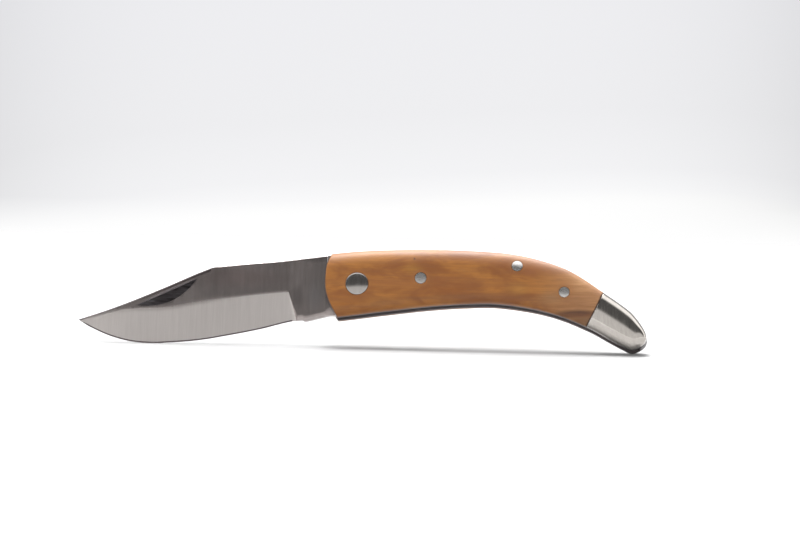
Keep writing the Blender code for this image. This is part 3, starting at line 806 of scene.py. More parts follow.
# %% [markdown]
# ## Wood scales and bolsters
#
# Each cover is a block with a flat face, rounded shoulders toward the spine and the belly,
# and a flat inner side. Toward the butt the flat vanishes and the shoulders meet. A grid is
# stretched between its four side-view lines, as a fabric would be on a hoop. Its rows crowd
# where the shoulders curve and its columns crowd at the ends, where the edge is broken. The
# grid is then extruded inward and flattened.

# %% Rows and columns of a cover
COVER_IN, COVER_EDGE, COVER_OUT = 2.3, 2.6, 5.5
COVER_LEAST = 0.05
TOP_SHOULDER, TOP_SHARE, TOP_ROWS = 5.2, 0.46, 14
BOTTOM_SHOULDER, BOTTOM_SHARE, BOTTOM_ROWS = 2.7, 0.255, 14
BUTT_TOP_SHARE, BUTT_BOTTOM_SHARE = 0.44, 0.56
ROUND_POWER, BUTT_POWER = 2.0, 3.0
BUTT_FROM, BUTT_TO = 44.0, 64.0
FLAT_ROWS = 8
NOSE_ROUNDING = 3.2
FRONT_STEPS = (0.0, 0.04, 0.12, 0.25, 0.35, 0.6, 1.0)
JOINT_STEPS = (0.0, 0.02, 0.06, 0.12, 0.22, 0.4, 0.7)


def cover_rows(width, near_butt):
    """Distances from the bottom outline up to the top one, close together on the shoulders."""
    lower = min(BOTTOM_SHOULDER, BOTTOM_SHARE * width)
    upper = min(TOP_SHOULDER, TOP_SHARE * width)
    lower += (BUTT_BOTTOM_SHARE * width - lower) * near_butt
    upper += (BUTT_TOP_SHARE * width - upper) * near_butt
    rows = [lower * (1 - math.cos(math.pi / 2 * k / BOTTOM_ROWS)) for k in range(BOTTOM_ROWS)]
    rows += [lower + (width - upper - lower) * k / FLAT_ROWS for k in range(FLAT_ROWS)]
    rows += [width - upper * (1 - math.sin(math.pi / 2 * k / TOP_ROWS)) for k in range(TOP_ROWS + 1)]
    return rows, lower, upper


def cover_columns(length, spacing, front, back):
    """Shares of a cover's length, with close columns at the given distances from its ends."""
    first = [step / length for step in front]
    last = [1 - step / length for step in reversed(back)]
    count = round(length / spacing)
    middle = [first[-1] + (last[0] - first[-1]) * k / count for k in range(1, count)]
    return first + middle + last


def broken_edge(distance, edge):
    return edge * (1 - quarter_round(distance / edge)) if edge else 0


print("a cover has", BOTTOM_ROWS + FLAT_ROWS + TOP_ROWS + 1, "rows")


# %% Cover shape
def cover(name, side, sides, spacing, ends, shade, look):
    """Cover on one side of the knife, stretched between its left, right, top and bottom lines.

    ends gives for the left and the right end its close columns and its broken edge, and shade
    how far the grime of each end reaches.
    """
    left, right, top_part, bottom_part = sides
    (left_steps, left_edge), (right_steps, right_edge) = ends
    length = sum((b - a).length for a, b in zip(top_part, top_part[1:]))
    columns = cover_columns(length, spacing, left_steps, right_steps)
    nose = top_line[-1]
    spots = []
    for share in columns:
        low, high = along(bottom_part, share), along(top_part, share)
        width = max((high - low).length, SAME_PLACE)
        middle = (low + high) / 2
        near_butt = smooth_share(middle.x, BUTT_FROM, BUTT_TO)
        power = ROUND_POWER + (BUTT_POWER - ROUND_POWER) * near_butt
        rows, lower, upper = cover_rows(width, near_butt)
        fullness = quarter_round((middle - nose).length / NOSE_ROUNDING)
        broken = broken_edge(share * length, left_edge)
        broken += broken_edge((1 - share) * length, right_edge)
        column = []
        for row in rows:
            v = row / width
            hoop = (along(left, v) * (1 - share) + along(right, v) * share
                    + low * (1 - v) + high * v
                    - (left[0] * (1 - v) + left[-1] * v) * (1 - share)
                    - (right[0] * (1 - v) + right[-1] * v) * share)
            bulge = quarter_round(row / lower) * quarter_round((width - row) / upper, power)
            thick = COVER_EDGE + (COVER_OUT - COVER_EDGE) * bulge * fullness
            thick = max(thick - broken, COVER_IN + COVER_LEAST)
            column.append(Vector((hoop.x, side * thick, hoop.y)))
        spots.append(column)
    bm = draped(len(columns), len(spots[0]), lambda column, row: spots[column][row])
    grime = bm.verts.layers.float.new(END_SHADE)
    nearest = {}
    for share, column in zip(columns, spots):
        dark = max(1 - share * length / shade[0], 1 - (1 - share) * length / shade[1], 0)
        nearest.update({tuple(spot): dark for spot in column})
    for vert in bm.verts:
        vert[grime] = nearest[tuple(vert.co)]
    outer = BVHTree.FromBMesh(bm)
    moved = bmesh.ops.extrude_face_region(bm, geom=bm.faces[:])["geom"]
    for item in moved:
        if isinstance(item, bmesh.types.BMVert):
            item.co.y = side * COVER_IN
    return to_object(name, bm, look), outer


print("a cover is", COVER_OUT - COVER_IN, "mm thick")

# %% Make the wood scales and the bolsters
WOOD_SPACING, BOLSTER_SPACING = 0.9, 0.35
FRONT_EDGE, JOINT_EDGE = 0.35, 0.12
FRONT_SHADE, JOINT_SHADE, NO_SHADE = 0.15, 0.42, 0.001
SIDES = {"front": -1, "back": 1}
PAST = 1.0

front_top, front_bottom, front_across = corners(front_line)
nose_top = (top_line[-1], len(top_line) - 2)
nose_bottom = (bottom_line[-1], len(bottom_line) - 2)
outer_surface = {}
covers = {}
for word, side in SIDES.items():
    wood_top, wood_bottom, wood_end = corners(joint_line(-1))
    wood_sides = (front_across, wood_end, stretch(top_line, front_top, wood_top),
                  stretch(bottom_line, front_bottom, wood_bottom))
    covers["scale_" + word], outer_surface[word] = cover(
        "scale_" + word, side, wood_sides, WOOD_SPACING,
        [(FRONT_STEPS, FRONT_EDGE), (JOINT_STEPS, JOINT_EDGE)], (FRONT_SHADE, JOINT_SHADE), WOOD)
    steel_top, steel_bottom, steel_start = corners(joint_line(1))
    steel_sides = (steel_start, [top_line[-1]] * 2, stretch(top_line, steel_top, nose_top),
                   stretch(bottom_line, steel_bottom, nose_bottom))
    covers["bolster_" + word], _ = cover(
        "bolster_" + word, side, steel_sides, BOLSTER_SPACING,
        [(JOINT_STEPS, JOINT_EDGE), ((0.0,), 0)], (NO_SHADE, NO_SHADE), BOLSTER_STEEL)
print("covers", sorted(covers))

# %% Drill the scales and hang the covers on the handle
GAP = 0.1
HEAD_SEAT, BARREL_RADIUS = 4.6, 2.0


def pin_holes():
    past = COVER_OUT + PAST
    return [to_object("hole_" + name, rod(centre, radius + GAP, -past, past), WOOD)
            for name, (centre, radius) in WOOD_PINS.items()]


def pivot_hole():
    """Stepped hole: wide for the two heads, narrow for the barrel between them."""
    head, hole = HEAD_RADIUS + GAP, BARREL_RADIUS + GAP
    seat, past = HEAD_SEAT - GAP, COVER_OUT + PAST
    profile = [(0, -past), (head, -past), (head, -seat), (hole, -seat),
               (hole, seat), (head, seat), (head, past), (0, past)]
    return to_object("hole_pivot", turned(profile, (0, 0)), WOOD)


for word in SIDES:
    cut(covers["scale_" + word], pin_holes() + [pivot_hole()])
    finish(covers["scale_" + word], "handle", "scale_" + word)
    finish(covers["bolster_" + word], "handle", "bolster_" + word)

# %% [markdown]
# ## Liners and backspring
#
# These are sheet steel. The liners follow the whole outline and show as two thin lines along
# the handle's edges. The spring fills the back between them, and its inner line leaves the
# slot that the blade folds into. Their corners are broken by a tenth of a millimetre, so that
# each catches its own line of light, the spring's a little more. The two pins hold the spring's
# rear half, and its front half bends up by a degree while the blade turns. Here the spring is
# only fixed in place, and rides with no body.

# %% Liners
LINER_IN, LINER_OUT = 1.4, 2.2
SHEET_EDGE = 0.1
THROUGH = 3.0


def liner_outline():
    path = front_across + stretch(top_line, front_top, nose_top)[1:]
    return path + stretch(bottom_line, front_bottom, nose_bottom)[1:-1][::-1]


def sheet_hole(centre, radius):
    """Tool for a hole through the sheets in the middle of the knife."""
    return to_object("hole", rod(centre, radius + GAP, -THROUGH, THROUGH))


for word, side in SIDES.items():
    flat = sheet(liner_outline(), side * LINER_IN, side * LINER_OUT, SHEET_EDGE)
    liner = to_object("liner_" + word, flat, LINER_IN_PAINTED_SHADE)
    cut(liner, pin_holes() + [pivot_hole()] + [sheet_hole(*pin) for pin in [REAR_PIN, *RIVETS]])
    finish(liner, "handle", "liner_" + word)

# %% Backspring
SPRING_HALF, SPRING_FRONT, SPRING_EDGE = 1.3, -8.8, 0.15
SPRING_FACE, SPRING_STEPS = 6.07, 8
SPRING_INNER = [(SPRING_FRONT, SPRING_FACE), (4, SPRING_FACE), (17, SPRING_FACE), (27, 6.6),
                (36, 6.2), (41.5, 3.9), (46.0, 3.3), (55, 1.55), (60.5, 0.15), (65.8, -1.95),
                (70.85, -5.2), (76.3, -9.5), (78.6, -11.8), (79.2, -13.2), (79.25, -15.9)]
BENDS_FROM, BENDS_TO = 45.0, 12.0


def spring_outline():
    inner = smooth_path(SPRING_INNER, SPRING_STEPS)
    butt = [point for point in bottom_line if point.x > SPRING_INNER[-1][0] + GAP]
    back = [point for point in top_line if SPRING_FRONT + GAP < point.x < HANDLE_TOP[-1][0]]
    corner = Vector((SPRING_FRONT, height(HANDLE_TOP, SPRING_FRONT)))
    return inner + butt + back[::-1] + [corner]


flat = sheet(spring_outline(), -SPRING_HALF, SPRING_HALF, SPRING_EDGE)
spring = to_object("backspring", flat, SPRING_IN_PAINTED_SHADE)
cut(spring, [sheet_hole(*WOOD_PINS["spring"]), sheet_hole(*REAR_PIN)])
finish(spring, "flexing_spring", "backspring",
       ("handle", at(BENDS_FROM, 0, 0), at(BENDS_TO, 0, 0)))

# %% [markdown]
# ## Pivot and pins
#
# The pivot is two turned parts. One has a tube that the blade rides on, the other a stem that
# enters the tube, and each has a low polished dome. The dome's tilt is what splits its
# reflection into a dark and a light half. The pins are rods, ground flush with the wood.
# Each end is therefore laid on the wood's own surface, by casting a ray at it from inside.

# %% Pivot
HEAD_DOME, DOME_STEPS = 0.28, 12
BARREL_END, BARREL_BORE, BARREL_BORE_END = -4.2, 1.3, 3.8
STEM_RADIUS, STEM_END = 1.2, 3.5
RIM, RIM_CORNER = 0.12, 0.3


def head_profile(side):
    """Head from the middle of its dome out over a small rounded rim to its seat."""
    rim_start = HEAD_RADIUS - RIM
    dome = [(rim_start * k / DOME_STEPS, COVER_OUT + HEAD_DOME * (1 - (k / DOME_STEPS) ** 2))
            for k in range(DOME_STEPS + 1)]
    corner = RIM * RIM_CORNER
    rim = [(HEAD_RADIUS - corner, COVER_OUT - corner), (HEAD_RADIUS, COVER_OUT - RIM)]
    return [(radius, side * y) for radius, y in [*dome, *rim, (HEAD_RADIUS, HEAD_SEAT)]]


barrel_profile = head_profile(1) + [(BARREL_RADIUS, HEAD_SEAT), (BARREL_RADIUS, BARREL_END),
                                    (BARREL_BORE, BARREL_END), (BARREL_BORE, BARREL_BORE_END),
                                    (0, BARREL_BORE_END)]
rivet_profile = head_profile(-1) + [(STEM_RADIUS, -HEAD_SEAT), (STEM_RADIUS, STEM_END),
                                    (0, STEM_END)]
for name, profile in (("pivot_barrel", barrel_profile), ("pivot_rivet", rivet_profile)):
    finish(to_object(name, turned(profile, (0, 0)), PIVOT_STEEL), "handle", name)

# %% Pins in the wood
PIN_INNER_END = 1.5
PIN_RINGS = (1.0, 0.94, 0.8, 0.55, 0.28, 0.0)
PIN_CROWN, CROWN_POWER = 0.05, 4
SPRING_PIN_CROWN, SPRING_PIN_POWER = 0.04, 2
PIN_STEPS = 48


def pin_end(side, radius, crown, power):
    """Profile over a pin's end, from its edge to its middle, a hair domed as ground pins are."""
    return [(radius * share, side * (COVER_OUT + crown * (1 - share ** power)))
            for share in PIN_RINGS]


def flush_with_wood(bm):
    """Lay each end vertex on the wood that is beside it."""
    for vert in bm.verts:
        if abs(vert.co.y) < COVER_IN:
            continue
        side = math.copysign(1, vert.co.y)
        crown = abs(vert.co.y) - COVER_OUT
        start = Vector((vert.co.x, side * COVER_IN, vert.co.z))
        wood = outer_surface["front" if side < 0 else "back"]
        hit = wood.ray_cast(start, Vector((0, side, 0)))[0]
        vert.co.y = hit.y + side * crown


def wood_pin(name, centre, radius, sides, crown=PIN_CROWN, power=CROWN_POWER):
    """Pin that shows on one side, from inside the liner, or on both sides, right through."""
    if len(sides) == 1:
        start = [(0, PIN_INNER_END * sides[0]), (radius, PIN_INNER_END * sides[0])]
    else:
        start = pin_end(sides[0], radius, crown, power)[::-1]
    bm = turned(start + pin_end(sides[-1], radius, crown, power), centre, PIN_STEPS)
    flush_with_wood(bm)
    finish(to_object(name, bm, PIN_STEEL), "handle", name)


for word, side in SIDES.items():
    for name in ("fore", "aft"):
        wood_pin(f"scale_pin_{name}_{word}", *WOOD_PINS[name], [side])
wood_pin("spring_pin_middle", *WOOD_PINS["spring"], [-1, 1], SPRING_PIN_CROWN, SPRING_PIN_POWER)

# %% Washers beside the tang
WASHER_IN, WASHER_OUT, WASHER_RADIUS = 1.1, 1.3, 4.3
WASHER_EDGE = 0.05

for word, side in SIDES.items():
    hole = BARREL_RADIUS + GAP
    profile = [(hole, WASHER_IN), (WASHER_RADIUS - WASHER_EDGE, WASHER_IN),
               (WASHER_RADIUS, WASHER_IN + WASHER_EDGE), (WASHER_RADIUS, WASHER_OUT), (hole, WASHER_OUT)]
    bm = turned([(radius, side * y) for radius, y in profile], (0, 0), ring=True)
    name = "pivot_washer_" + word
    finish(to_object(name, bm, BRONZE), "handle", name)

# %% [markdown]
# ## The blade
#
# A smith grinds a blade from bar. Two bevels come in from the flats at about five degrees and
# stop at the plunge, where the wheel's edge leaves a narrow curved wall that leans toward the
# tip. Behind it the lower edge is softly rounded. The clip in front has a narrow swedge, and a
# dark reflection is painted under it as a line. Here one grid carries both faces: its columns
# run from the tip to the round end of the tang, and its rows from the edge to the back. Rows
# crowd at the cutting edge, the grind line and the swedge, so each crease is as tight as the real one.

# %% Blade lines
TIP = (-78.7, -10.5)
EDGE = [TIP, (-75.3, -12.5), (-69.5, -15.0), (-63.8, -16.45), (-58.1, -16.9), (-52.4, -16.62),
        (-44, -15.75), (-35.6, -14.15), (-27.2, -12.3), (-19.0, -10.05), (-15.3, -9.55)]
BACK = [TIP, (-69.8, -7.45), (-61.5, -4.0), (-53.1, -0.2), (-45.9, 3.2), (-42.2, 4.75),
        (-40.6, 5.2), (-38.5, 5.4), (-30.8, 6.3), (-22.3, 7.15), (-14, 8.3), (-8.95, 9.0)]
GRIND = [(-78, -10.4), (-77, -10.15), (-74.2, -9.35), (-71.4, -8.6), (-68.6, -8.05), (-65.8, -7.7),
         (-63, -7.47), (-60.2, -7.3), (-57.3, -7.2), (-54.5, -7.0), (-50.3, -6.45), (-46.1, -5.55),
         (-40.5, -4.3), (-34.9, -3.35), (-28, -2.35), (-21.1, -1.6), (-14, -1.0)]
RICASSO = [(-15.3, -9.55), (-14.9, -9.8), (-14.3, -9.86), (-10.5, -8.9), (-7.7, -8.15)]
BLADE_HALF = 1.0
SWEDGE, SWEDGE_SHARE, SWEDGE_END, SWEDGE_FADE = 0.35, 0.65, -42.0, 1.0
SPINE_CHAMFER, SPINE_SHARE = 0.1, 0.92
CUTTING_BEVEL, CUTTING_BEVEL_HALF, EDGE_HALF = 0.4, 0.1, 0.03
RICASSO_ROUNDING, RICASSO_EDGE_HALF, ROUNDED_UNTIL = 1.7, 0.6, (-10.5, -4.0)
FULL_THICKNESS_WIDTH = 8.0
PLUNGE, PLUNGE_WIDTH, PLUNGE_CORNER = -18.2, 1.2, 0.9
LEAN_BACK, LEAN_START = 2.35, -46.0
LOWEST_GRIND, HIGHEST_GRIND = 0.3, 0.85
SWEDGE_PARTS, CUTTING_PARTS = 3, 5
TANG_FLAT = SPRING_FACE - GAP
CAM_RADIUS = 6.75
CLOSED_ANGLE = math.radians(joints["blade_fold"]["range_deg"][1])
SHOULDER = -8.95
print("blade closes after", joints["blade_fold"]["range_deg"][1], "degrees")

# %% Sections of the ground blade
def leaned(x):
    """Where the upper end of a section is, which leans more and more toward the plunge."""
    return x - LEAN_BACK * smooth_share(x, LEAN_START, PLUNGE)


def ground_section(x, wall):
    """Five lines of the ground blade at x: (x, z, half thickness), edge first.

    wall runs from 0 on the bevel to 1 where the plunge reaches the full thickness.
    """
    back_x = leaned(x)
    edge, back = height(EDGE, x), height(BACK, back_x)
    rise = 1 - math.sqrt(1 - wall * wall)
    on_spine = smooth_share(back_x, SWEDGE_END - SWEDGE_FADE, SWEDGE_END + SWEDGE_FADE)
    swedge = back - min(SWEDGE + (SPINE_CHAMFER - SWEDGE) * on_spine, (back - edge) / SWEDGE_PARTS)
    half = BLADE_HALF * min(1, (swedge - edge) / FULL_THICKNESS_WIDTH)
    cutting = edge + min(CUTTING_BEVEL + (RICASSO_ROUNDING - CUTTING_BEVEL) * rise,
                         (swedge - edge) / CUTTING_PARTS)
    corner = PLUNGE + PLUNGE_WIDTH - x
    dip = PLUNGE_CORNER * (1 - quarter_round(corner / PLUNGE_CORNER))
    lowest = cutting + (swedge - cutting) * LOWEST_GRIND
    highest = cutting + (swedge - cutting) * HIGHEST_GRIND
    grind = min(max(height(GRIND, back_x) - dip, lowest), highest)
    cutting_half = EDGE_HALF + (CUTTING_BEVEL_HALF - EDGE_HALF) * half / BLADE_HALF
    cutting_half += (BLADE_HALF - cutting_half) * rise
    edge_half = EDGE_HALF + (RICASSO_EDGE_HALF - EDGE_HALF) * rise
    back_half = half * (SWEDGE_SHARE + (SPINE_SHARE - SWEDGE_SHARE) * on_spine)
    return [(x, edge, edge_half), (x, cutting, cutting_half), (back_x, grind, half),
            (back_x, swedge, half), (back_x, back, back_half)], rise


print("bevels start", FULL_THICKNESS_WIDTH, "mm above the edge")


# %% Ricasso and tang sections
def ricasso_section(x):
    back_x = x - LEAN_BACK * (SHOULDER - x) / (SHOULDER - PLUNGE - PLUNGE_WIDTH)
    low = height(RICASSO if x > RICASSO[0][0] else EDGE, x)
    back = height(BACK, back_x)
    return [(x, low, RICASSO_EDGE_HALF), (x, low + RICASSO_ROUNDING, BLADE_HALF),
            (back_x, height(GRIND, back_x) - PLUNGE_CORNER, BLADE_HALF),
            (back_x, back - SPINE_CHAMFER, BLADE_HALF), (back_x, back, BLADE_HALF * SPINE_SHARE)], 1.0


def tang_section(x):
    """The tang's two spring flats and its cam about the pivot."""
    cam = math.sqrt(max(0.0, CAM_RADIUS * CAM_RADIUS - x * x))
    closed_flat = (x * math.sin(CLOSED_ANGLE) - TANG_FLAT) / -math.cos(CLOSED_ANGLE)
    low = max(height(RICASSO, x), closed_flat)
    top = TANG_FLAT
    if x > 0:
        low, top = max(low, -cam), min(top, cam)
    square = smooth_share(x, *ROUNDED_UNTIL)
    lines = [(x, low + (top - low) * row / 4, BLADE_HALF) for row in range(5)]
    lines[0] = (x, low, RICASSO_EDGE_HALF + (BLADE_HALF - RICASSO_EDGE_HALF) * square)
    second = RICASSO_ROUNDING + ((top - low) / 4 - RICASSO_ROUNDING) * square
    lines[1] = (x, low + second, BLADE_HALF)
    return lines, 1.0 - square


print("blade sections have five lines from the edge to the back")

# %% [markdown]
# The sections stand close together where the blade changes fast: at the tip, on the plunge's
# wall, over the notch in front of the ricasso and round the cam.

# %% Places of the sections
TIP_PLACES = [TIP[0] + step for step in (0.15, 0.4, 0.8, 1.3)]
NEAR_PLUNGE, PAST_NOTCH = -20, -13.8
BEVEL_STEP, NEAR_STEP, WALL_STEP = 0.55, 0.2, 0.08
NOTCH_STEP, RICASSO_STEP, TANG_STEP, CAM_STEPS = 0.12, 0.45, 0.6, 16
AFTER_WALL, AFTER_SHOULDER = 0.01, 0.05


def spaced(start, stop, step):
    count = max(1, round((stop - start) / step))
    return [start + (stop - start) * k / count for k in range(1, count + 1)]


full_width = PLUNGE + PLUNGE_WIDTH
tang_start = SHOULDER + AFTER_SHOULDER
cam_start = math.asin(TANG_FLAT / CAM_RADIUS)
bevel_places = TIP_PLACES + spaced(TIP_PLACES[-1], NEAR_PLUNGE, BEVEL_STEP) + spaced(
    NEAR_PLUNGE, PLUNGE, NEAR_STEP)
ricasso_places = spaced(full_width + AFTER_WALL, PAST_NOTCH, NOTCH_STEP) + spaced(
    PAST_NOTCH, SHOULDER, RICASSO_STEP)
tang_places = [tang_start] + spaced(tang_start, CAM_RADIUS * math.cos(cam_start), TANG_STEP)
tang_places += [CAM_RADIUS * math.cos(cam_start * (1 - k / CAM_STEPS))
                for k in range(1, CAM_STEPS + 1)]

sections = [([(*TIP, 0.0)] * 5, 0.0)]
sections += [ground_section(x, 0.0) for x in bevel_places]
plunge_start = len(sections) - 1
sections += [ground_section(x, (x - PLUNGE) / PLUNGE_WIDTH)
             for x in spaced(PLUNGE, full_width, WALL_STEP)]
sections += [ricasso_section(x) for x in ricasso_places]
sections += [tang_section(x) for x in tang_places]
print(len(sections), "sections from tip to tang")

# %% [markdown]
# Between those five lines the rows are placed by a number from 0 at the edge to 4 at the
# back, with the lines at whole numbers. The thickness goes straight from line to line, and a
# smooth minimum rounds the grind line by a few tenths of a millimetre, as buffing does. The
# bevel's share, a point attribute, fades over the grind line and at the plunge's leaning wall.

# %% Blade mesh
BLADE_ROWS = [0, 0.08, 0.2, 0.35, 0.5, 0.7, 0.9, 1, 1.01, 1.03, 1.1, 1.2, 1.35, 1.5, 1.65, 1.8,
              1.88, 1.93, 1.96, 1.98, 2, 2.02, 2.04, 2.07, 2.12, 2.2, 2.35, 2.5, 2.65, 2.8,
              2.92, 2.96, 2.99, 3, 3.06, 3.5, 3.94, 4]
SOFTNESS_AT_PLUNGE, SOFTNESS_AT_POINT = 0.05, 0.14
BLEND_BETWEEN = (-30.0, -48.0)
AROUND = BLADE_ROWS + BLADE_ROWS[::-1]


def blade_spot(section, row):
    """Point of a section at a row, on the side of the nail nick."""
    lines, rounding = section
    i = min(int(row), 3)
    (x0, z0, t0), (x1, z1, t1) = lines[i], lines[i + 1]
    share = row - i
    half = t0 + (t1 - t0) * share
    if i == 0:
        half += (t1 - t0) * (1 - (1 - share) ** 3 - share) * rounding
    if 1 < row < 3:
        slope = lines[2][2] - lines[1][2]
        bevel = lines[2][2] + slope * (row - 2)
        flat = half if row > 2 else lines[2][2]
        to_point = smooth_share(x0, *BLEND_BETWEEN)
        softness = SOFTNESS_AT_PLUNGE + (SOFTNESS_AT_POINT - SOFTNESS_AT_PLUNGE) * to_point
        soft = max(softness * slope, SAME_PLACE / 10)
        mix = min(max(0.5 + 0.5 * (flat - bevel) / soft, 0), 1)
        half = flat + (bevel - flat) * mix - soft * mix * (1 - mix)
    return Vector((x0 + (x1 - x0) * share, -max(half, 0), z0 + (z1 - z0) * share))


def blade_vertex(column, row):
    """Point of the whole grid, whose rows go up the near side and down the far one."""
    spot = blade_spot(sections[column], AROUND[row % len(AROUND)])
    if len(BLADE_ROWS) <= row < len(AROUND):
        spot.y = -spot.y
    return spot


print("the blade's grid has", len(AROUND), "rows round it")


# %% Finish of the blade's faces
BLEND_AT_PLUNGE, BLEND_AT_POINT = 0.5, 1.7
WALL_FOOT, WALL_BLEND = -9.5, 0.3
CLIP_LINE, DARK_POINT = 2.92, -66.5


def blade_finish(column, row):
    """Finish of a face: 0 ground or flat, 1 cutting edge, the back near the point, or the dark line of
    painted reflection along the clip.
    """
    middle = (AROUND[row] + AROUND[(row + 1) % len(AROUND)]) / 2
    x = sections[column][0][0][0]
    on_edge = middle < 1 and column < plunge_start
    # Under the swedge a dark reflection is painted as a line.
    under_swedge = CLIP_LINE < middle < 3 and x < SWEDGE_END
    at_point = middle > 3 and x < DARK_POINT
    return 1 if on_edge or under_swedge or at_point else 0


def bevel_share(x, z):
    """How much of the bevel's look a place on the blade has, from 0 on the flat to 1."""
    blend = BLEND_AT_PLUNGE + (BLEND_AT_POINT - BLEND_AT_PLUNGE) * smooth_share(x, *BLEND_BETWEEN)
    grind = height(GRIND, leaned(x))
    wall_x = full_width - LEAN_BACK * min(max((z - WALL_FOOT) / (grind - WALL_FOOT), 0), 1)
    beside = smooth_share(x, wall_x - WALL_BLEND, wall_x)
    return (1 - smooth_share(z - grind, -blend / 2, blend / 2)) * (1 - beside)


print("the bevel's look ends at", round(full_width, 2), "mm from the pivot")

# %% [markdown]
# The nail nick is cut with a tool of its own, a sector of a wide cone. Its floor is painted
# nearly black, as shade in the hollow, and gets coarse dark lines, and the short lip over it is bright.

# %% Nick and finished blade
NICK_START, NICK_END = (-62.2, -6.2), (-45.5, 1.8)
NICK_DEPTH, NICK_HEIGHT, NICK_STEPS = 0.55, 2.9, 64
NICK_LIP, NICK_PAST, NICK_CLEAR = 0.45, 1.3, 2.0
PAST_BLADE = 2.0


def nick_tool():
    """Sector of a wide cone, spun about an axis across the nick's straight upper line.

    Below that line the floor rises slowly to the blade's face, and above it a short lip does.
    """
    start, end = Vector(NICK_START), Vector(NICK_END)
    half_length = (end - start).length / 2
    run = (end - start).normalized()
    down = Vector((run.y, -run.x))
    middle = (start + end) / 2
    radius = (half_length ** 2 + NICK_DEPTH ** 2) / (2 * NICK_DEPTH)
    axis_y = -BLADE_HALF - radius + NICK_DEPTH
    reach = NICK_PAST * math.asin(half_length / radius)
    width, lip = NICK_PAST * NICK_HEIGHT, NICK_PAST * NICK_LIP
    profile = [(radius, 0), (radius - width * NICK_DEPTH / NICK_HEIGHT, width),
               (radius - NICK_CLEAR, width), (radius - NICK_CLEAR, -lip),
               (radius - NICK_DEPTH * NICK_PAST, -lip)]
    bm = bmesh.new()
    loop = [bm.verts.new((middle.x + down.x * drop, axis_y + size, middle.y + down.y * drop))
            for size, drop in profile]
    face = bm.faces.new(loop)
    centre, axis = Vector((middle.x, axis_y, middle.y)), Vector((down.x, 0, down.y))
    bmesh.ops.rotate(bm, verts=loop, cent=centre, matrix=Matrix.Rotation(-reach, 3, axis))
    bmesh.ops.spin(bm, geom=[face, *face.edges, *loop], cent=centre, axis=axis, angle=2 * reach,
                   steps=NICK_STEPS)
    for face in bm.faces:
        drop = max((vert.co - centre).dot(axis) for vert in face.verts)
        face.material_index = 1 if drop < SAME_PLACE else 0
    return to_object("nick_tool", bm, NICK_IN_PAINTED_SHADE, LIP_STEEL)


blade_grid = draped(len(sections), len(AROUND) + 1, blade_vertex, blade_finish)
on_bevel = blade_grid.verts.layers.float.new(BEVEL_SHARE)
for vert in blade_grid.verts:
    vert[on_bevel] = bevel_share(vert.co.x, vert.co.z)
blade = to_object("blade", blade_grid, BLADE_STEEL, EDGE_AND_PAINTED_LINE_STEEL)
pivot_tool = to_object("hole_blade", rod((0, 0), BARREL_RADIUS + GAP, -PAST_BLADE, PAST_BLADE),
                       BLADE_STEEL)
cut(blade, [pivot_tool, nick_tool()])
finish(blade, "folding_blade", "blade")

# %% [markdown]
# ## Hidden pieces
#
# The bolsters' rivets and the spring's rear pin sit inside the handle. Their CAD shapes are
# right as they are, so they stay, with the pins' steel on them.

# %% Hidden pins and rivets
hidden = [name for name in frame["nodes"]
          if name.startswith("bolster_rivet") or name == "spring_pin_rear"]
hidden_slots = [slot for name in hidden for slot in frame["nodes"][name].material_slots]
for slot in hidden_slots:
    slot.material = PIN_STEEL
print(len(hidden), "hidden pieces with", len(hidden_slots), "material slots")

# %% [markdown]
# ## Table, backdrop and light
#
# The table is white card. The lamps light it, so it keeps the knife's shadow. A glow that only
# the camera and mirrors see lifts it to paper white. It is faint near the knife, where the
# shadow lies, and grows away from it. The backdrop is a pale grey sweep: white at its foot,
# grey above and toward the sides. It is painted for the camera and for mirrors, and for the
# knife it is a plain grey card. It casts no shadow, and it is clear from behind, so that it
# never hides the knife.

# %% Table card
TABLE_WHITE, TABLE_GREY = 0.33, 0.5
GLOW_NEAR, GLOW_AWAY = 0.06, 0.45
GLOW_CENTRE, GLOW_SIZE, GLOW_INNER = 0.06, (0.22, 0.22, 0.22), 0.35
WHITE, BLACK = (1, 1, 1), (0, 0, 0)


def card_material(name):
    made, tree, shader, place = new_material(name)
    connect(tree, shader, {"Roughness": 0.9, "Specular IOR Level": 0.1, "Emission Strength": 1.0})
    return made, tree, shader, place


def seen_directly(tree):
    """1 for rays from the camera, a mirror or glass, 0 for the light that falls on the knife."""
    rays = add(tree, "LightPath").outputs
    mirrored = maths(tree, "ADD", rays["Is Glossy Ray"], rays["Is Transmission Ray"])
    return maths(tree, "MINIMUM", maths(tree, "ADD", rays["Is Camera Ray"], mirrored), 1.0)


white_card, tree, shader, place = card_material("white_card")
direct = seen_directly(tree)
near = placed(tree, soft_spot, {"Coordinate": place, "Centre": on_table(GLOW_CENTRE, 0, 0),
                                "Size": GLOW_SIZE, "Inner": GLOW_INNER})["Mask"]
glow = mixed_value(tree, near, GLOW_AWAY, GLOW_NEAR)
glow = maths(tree, "MULTIPLY", direct, glow)
connect(tree, shader, {"Base Color": mixed(tree, direct, (TABLE_GREY,) * 3, (TABLE_WHITE,) * 3),
                       "Emission Color": mixed(tree, glow, BLACK, WHITE)})
table.data.materials.append(white_card)
print(white_card.name)

# %% Backdrop card
HALF_WIDTH, FADE_HEIGHT, MIDDLE = 0.155, 0.10, 0.43
SPREAD_POWER, MOST_SPREAD, SPREAD_DROP, SPREAD_DIM = 4.0, 1.5, 0.0096, 0.13
LEVEL_DROP, FOOT_BLEND = 0.0099, 0.014
SWEEP = [(0.0, 1.0, 1.0), (0.10, 1.0, 1.0), (0.128, 0.985, 0.985), (0.166, 0.945, 0.955),
         (0.243, 0.895, 0.91), (0.47, 0.855, 0.872), (1.0, 0.85, 0.875)]
CARD_GREY = (0.75, 0.75, 0.78)


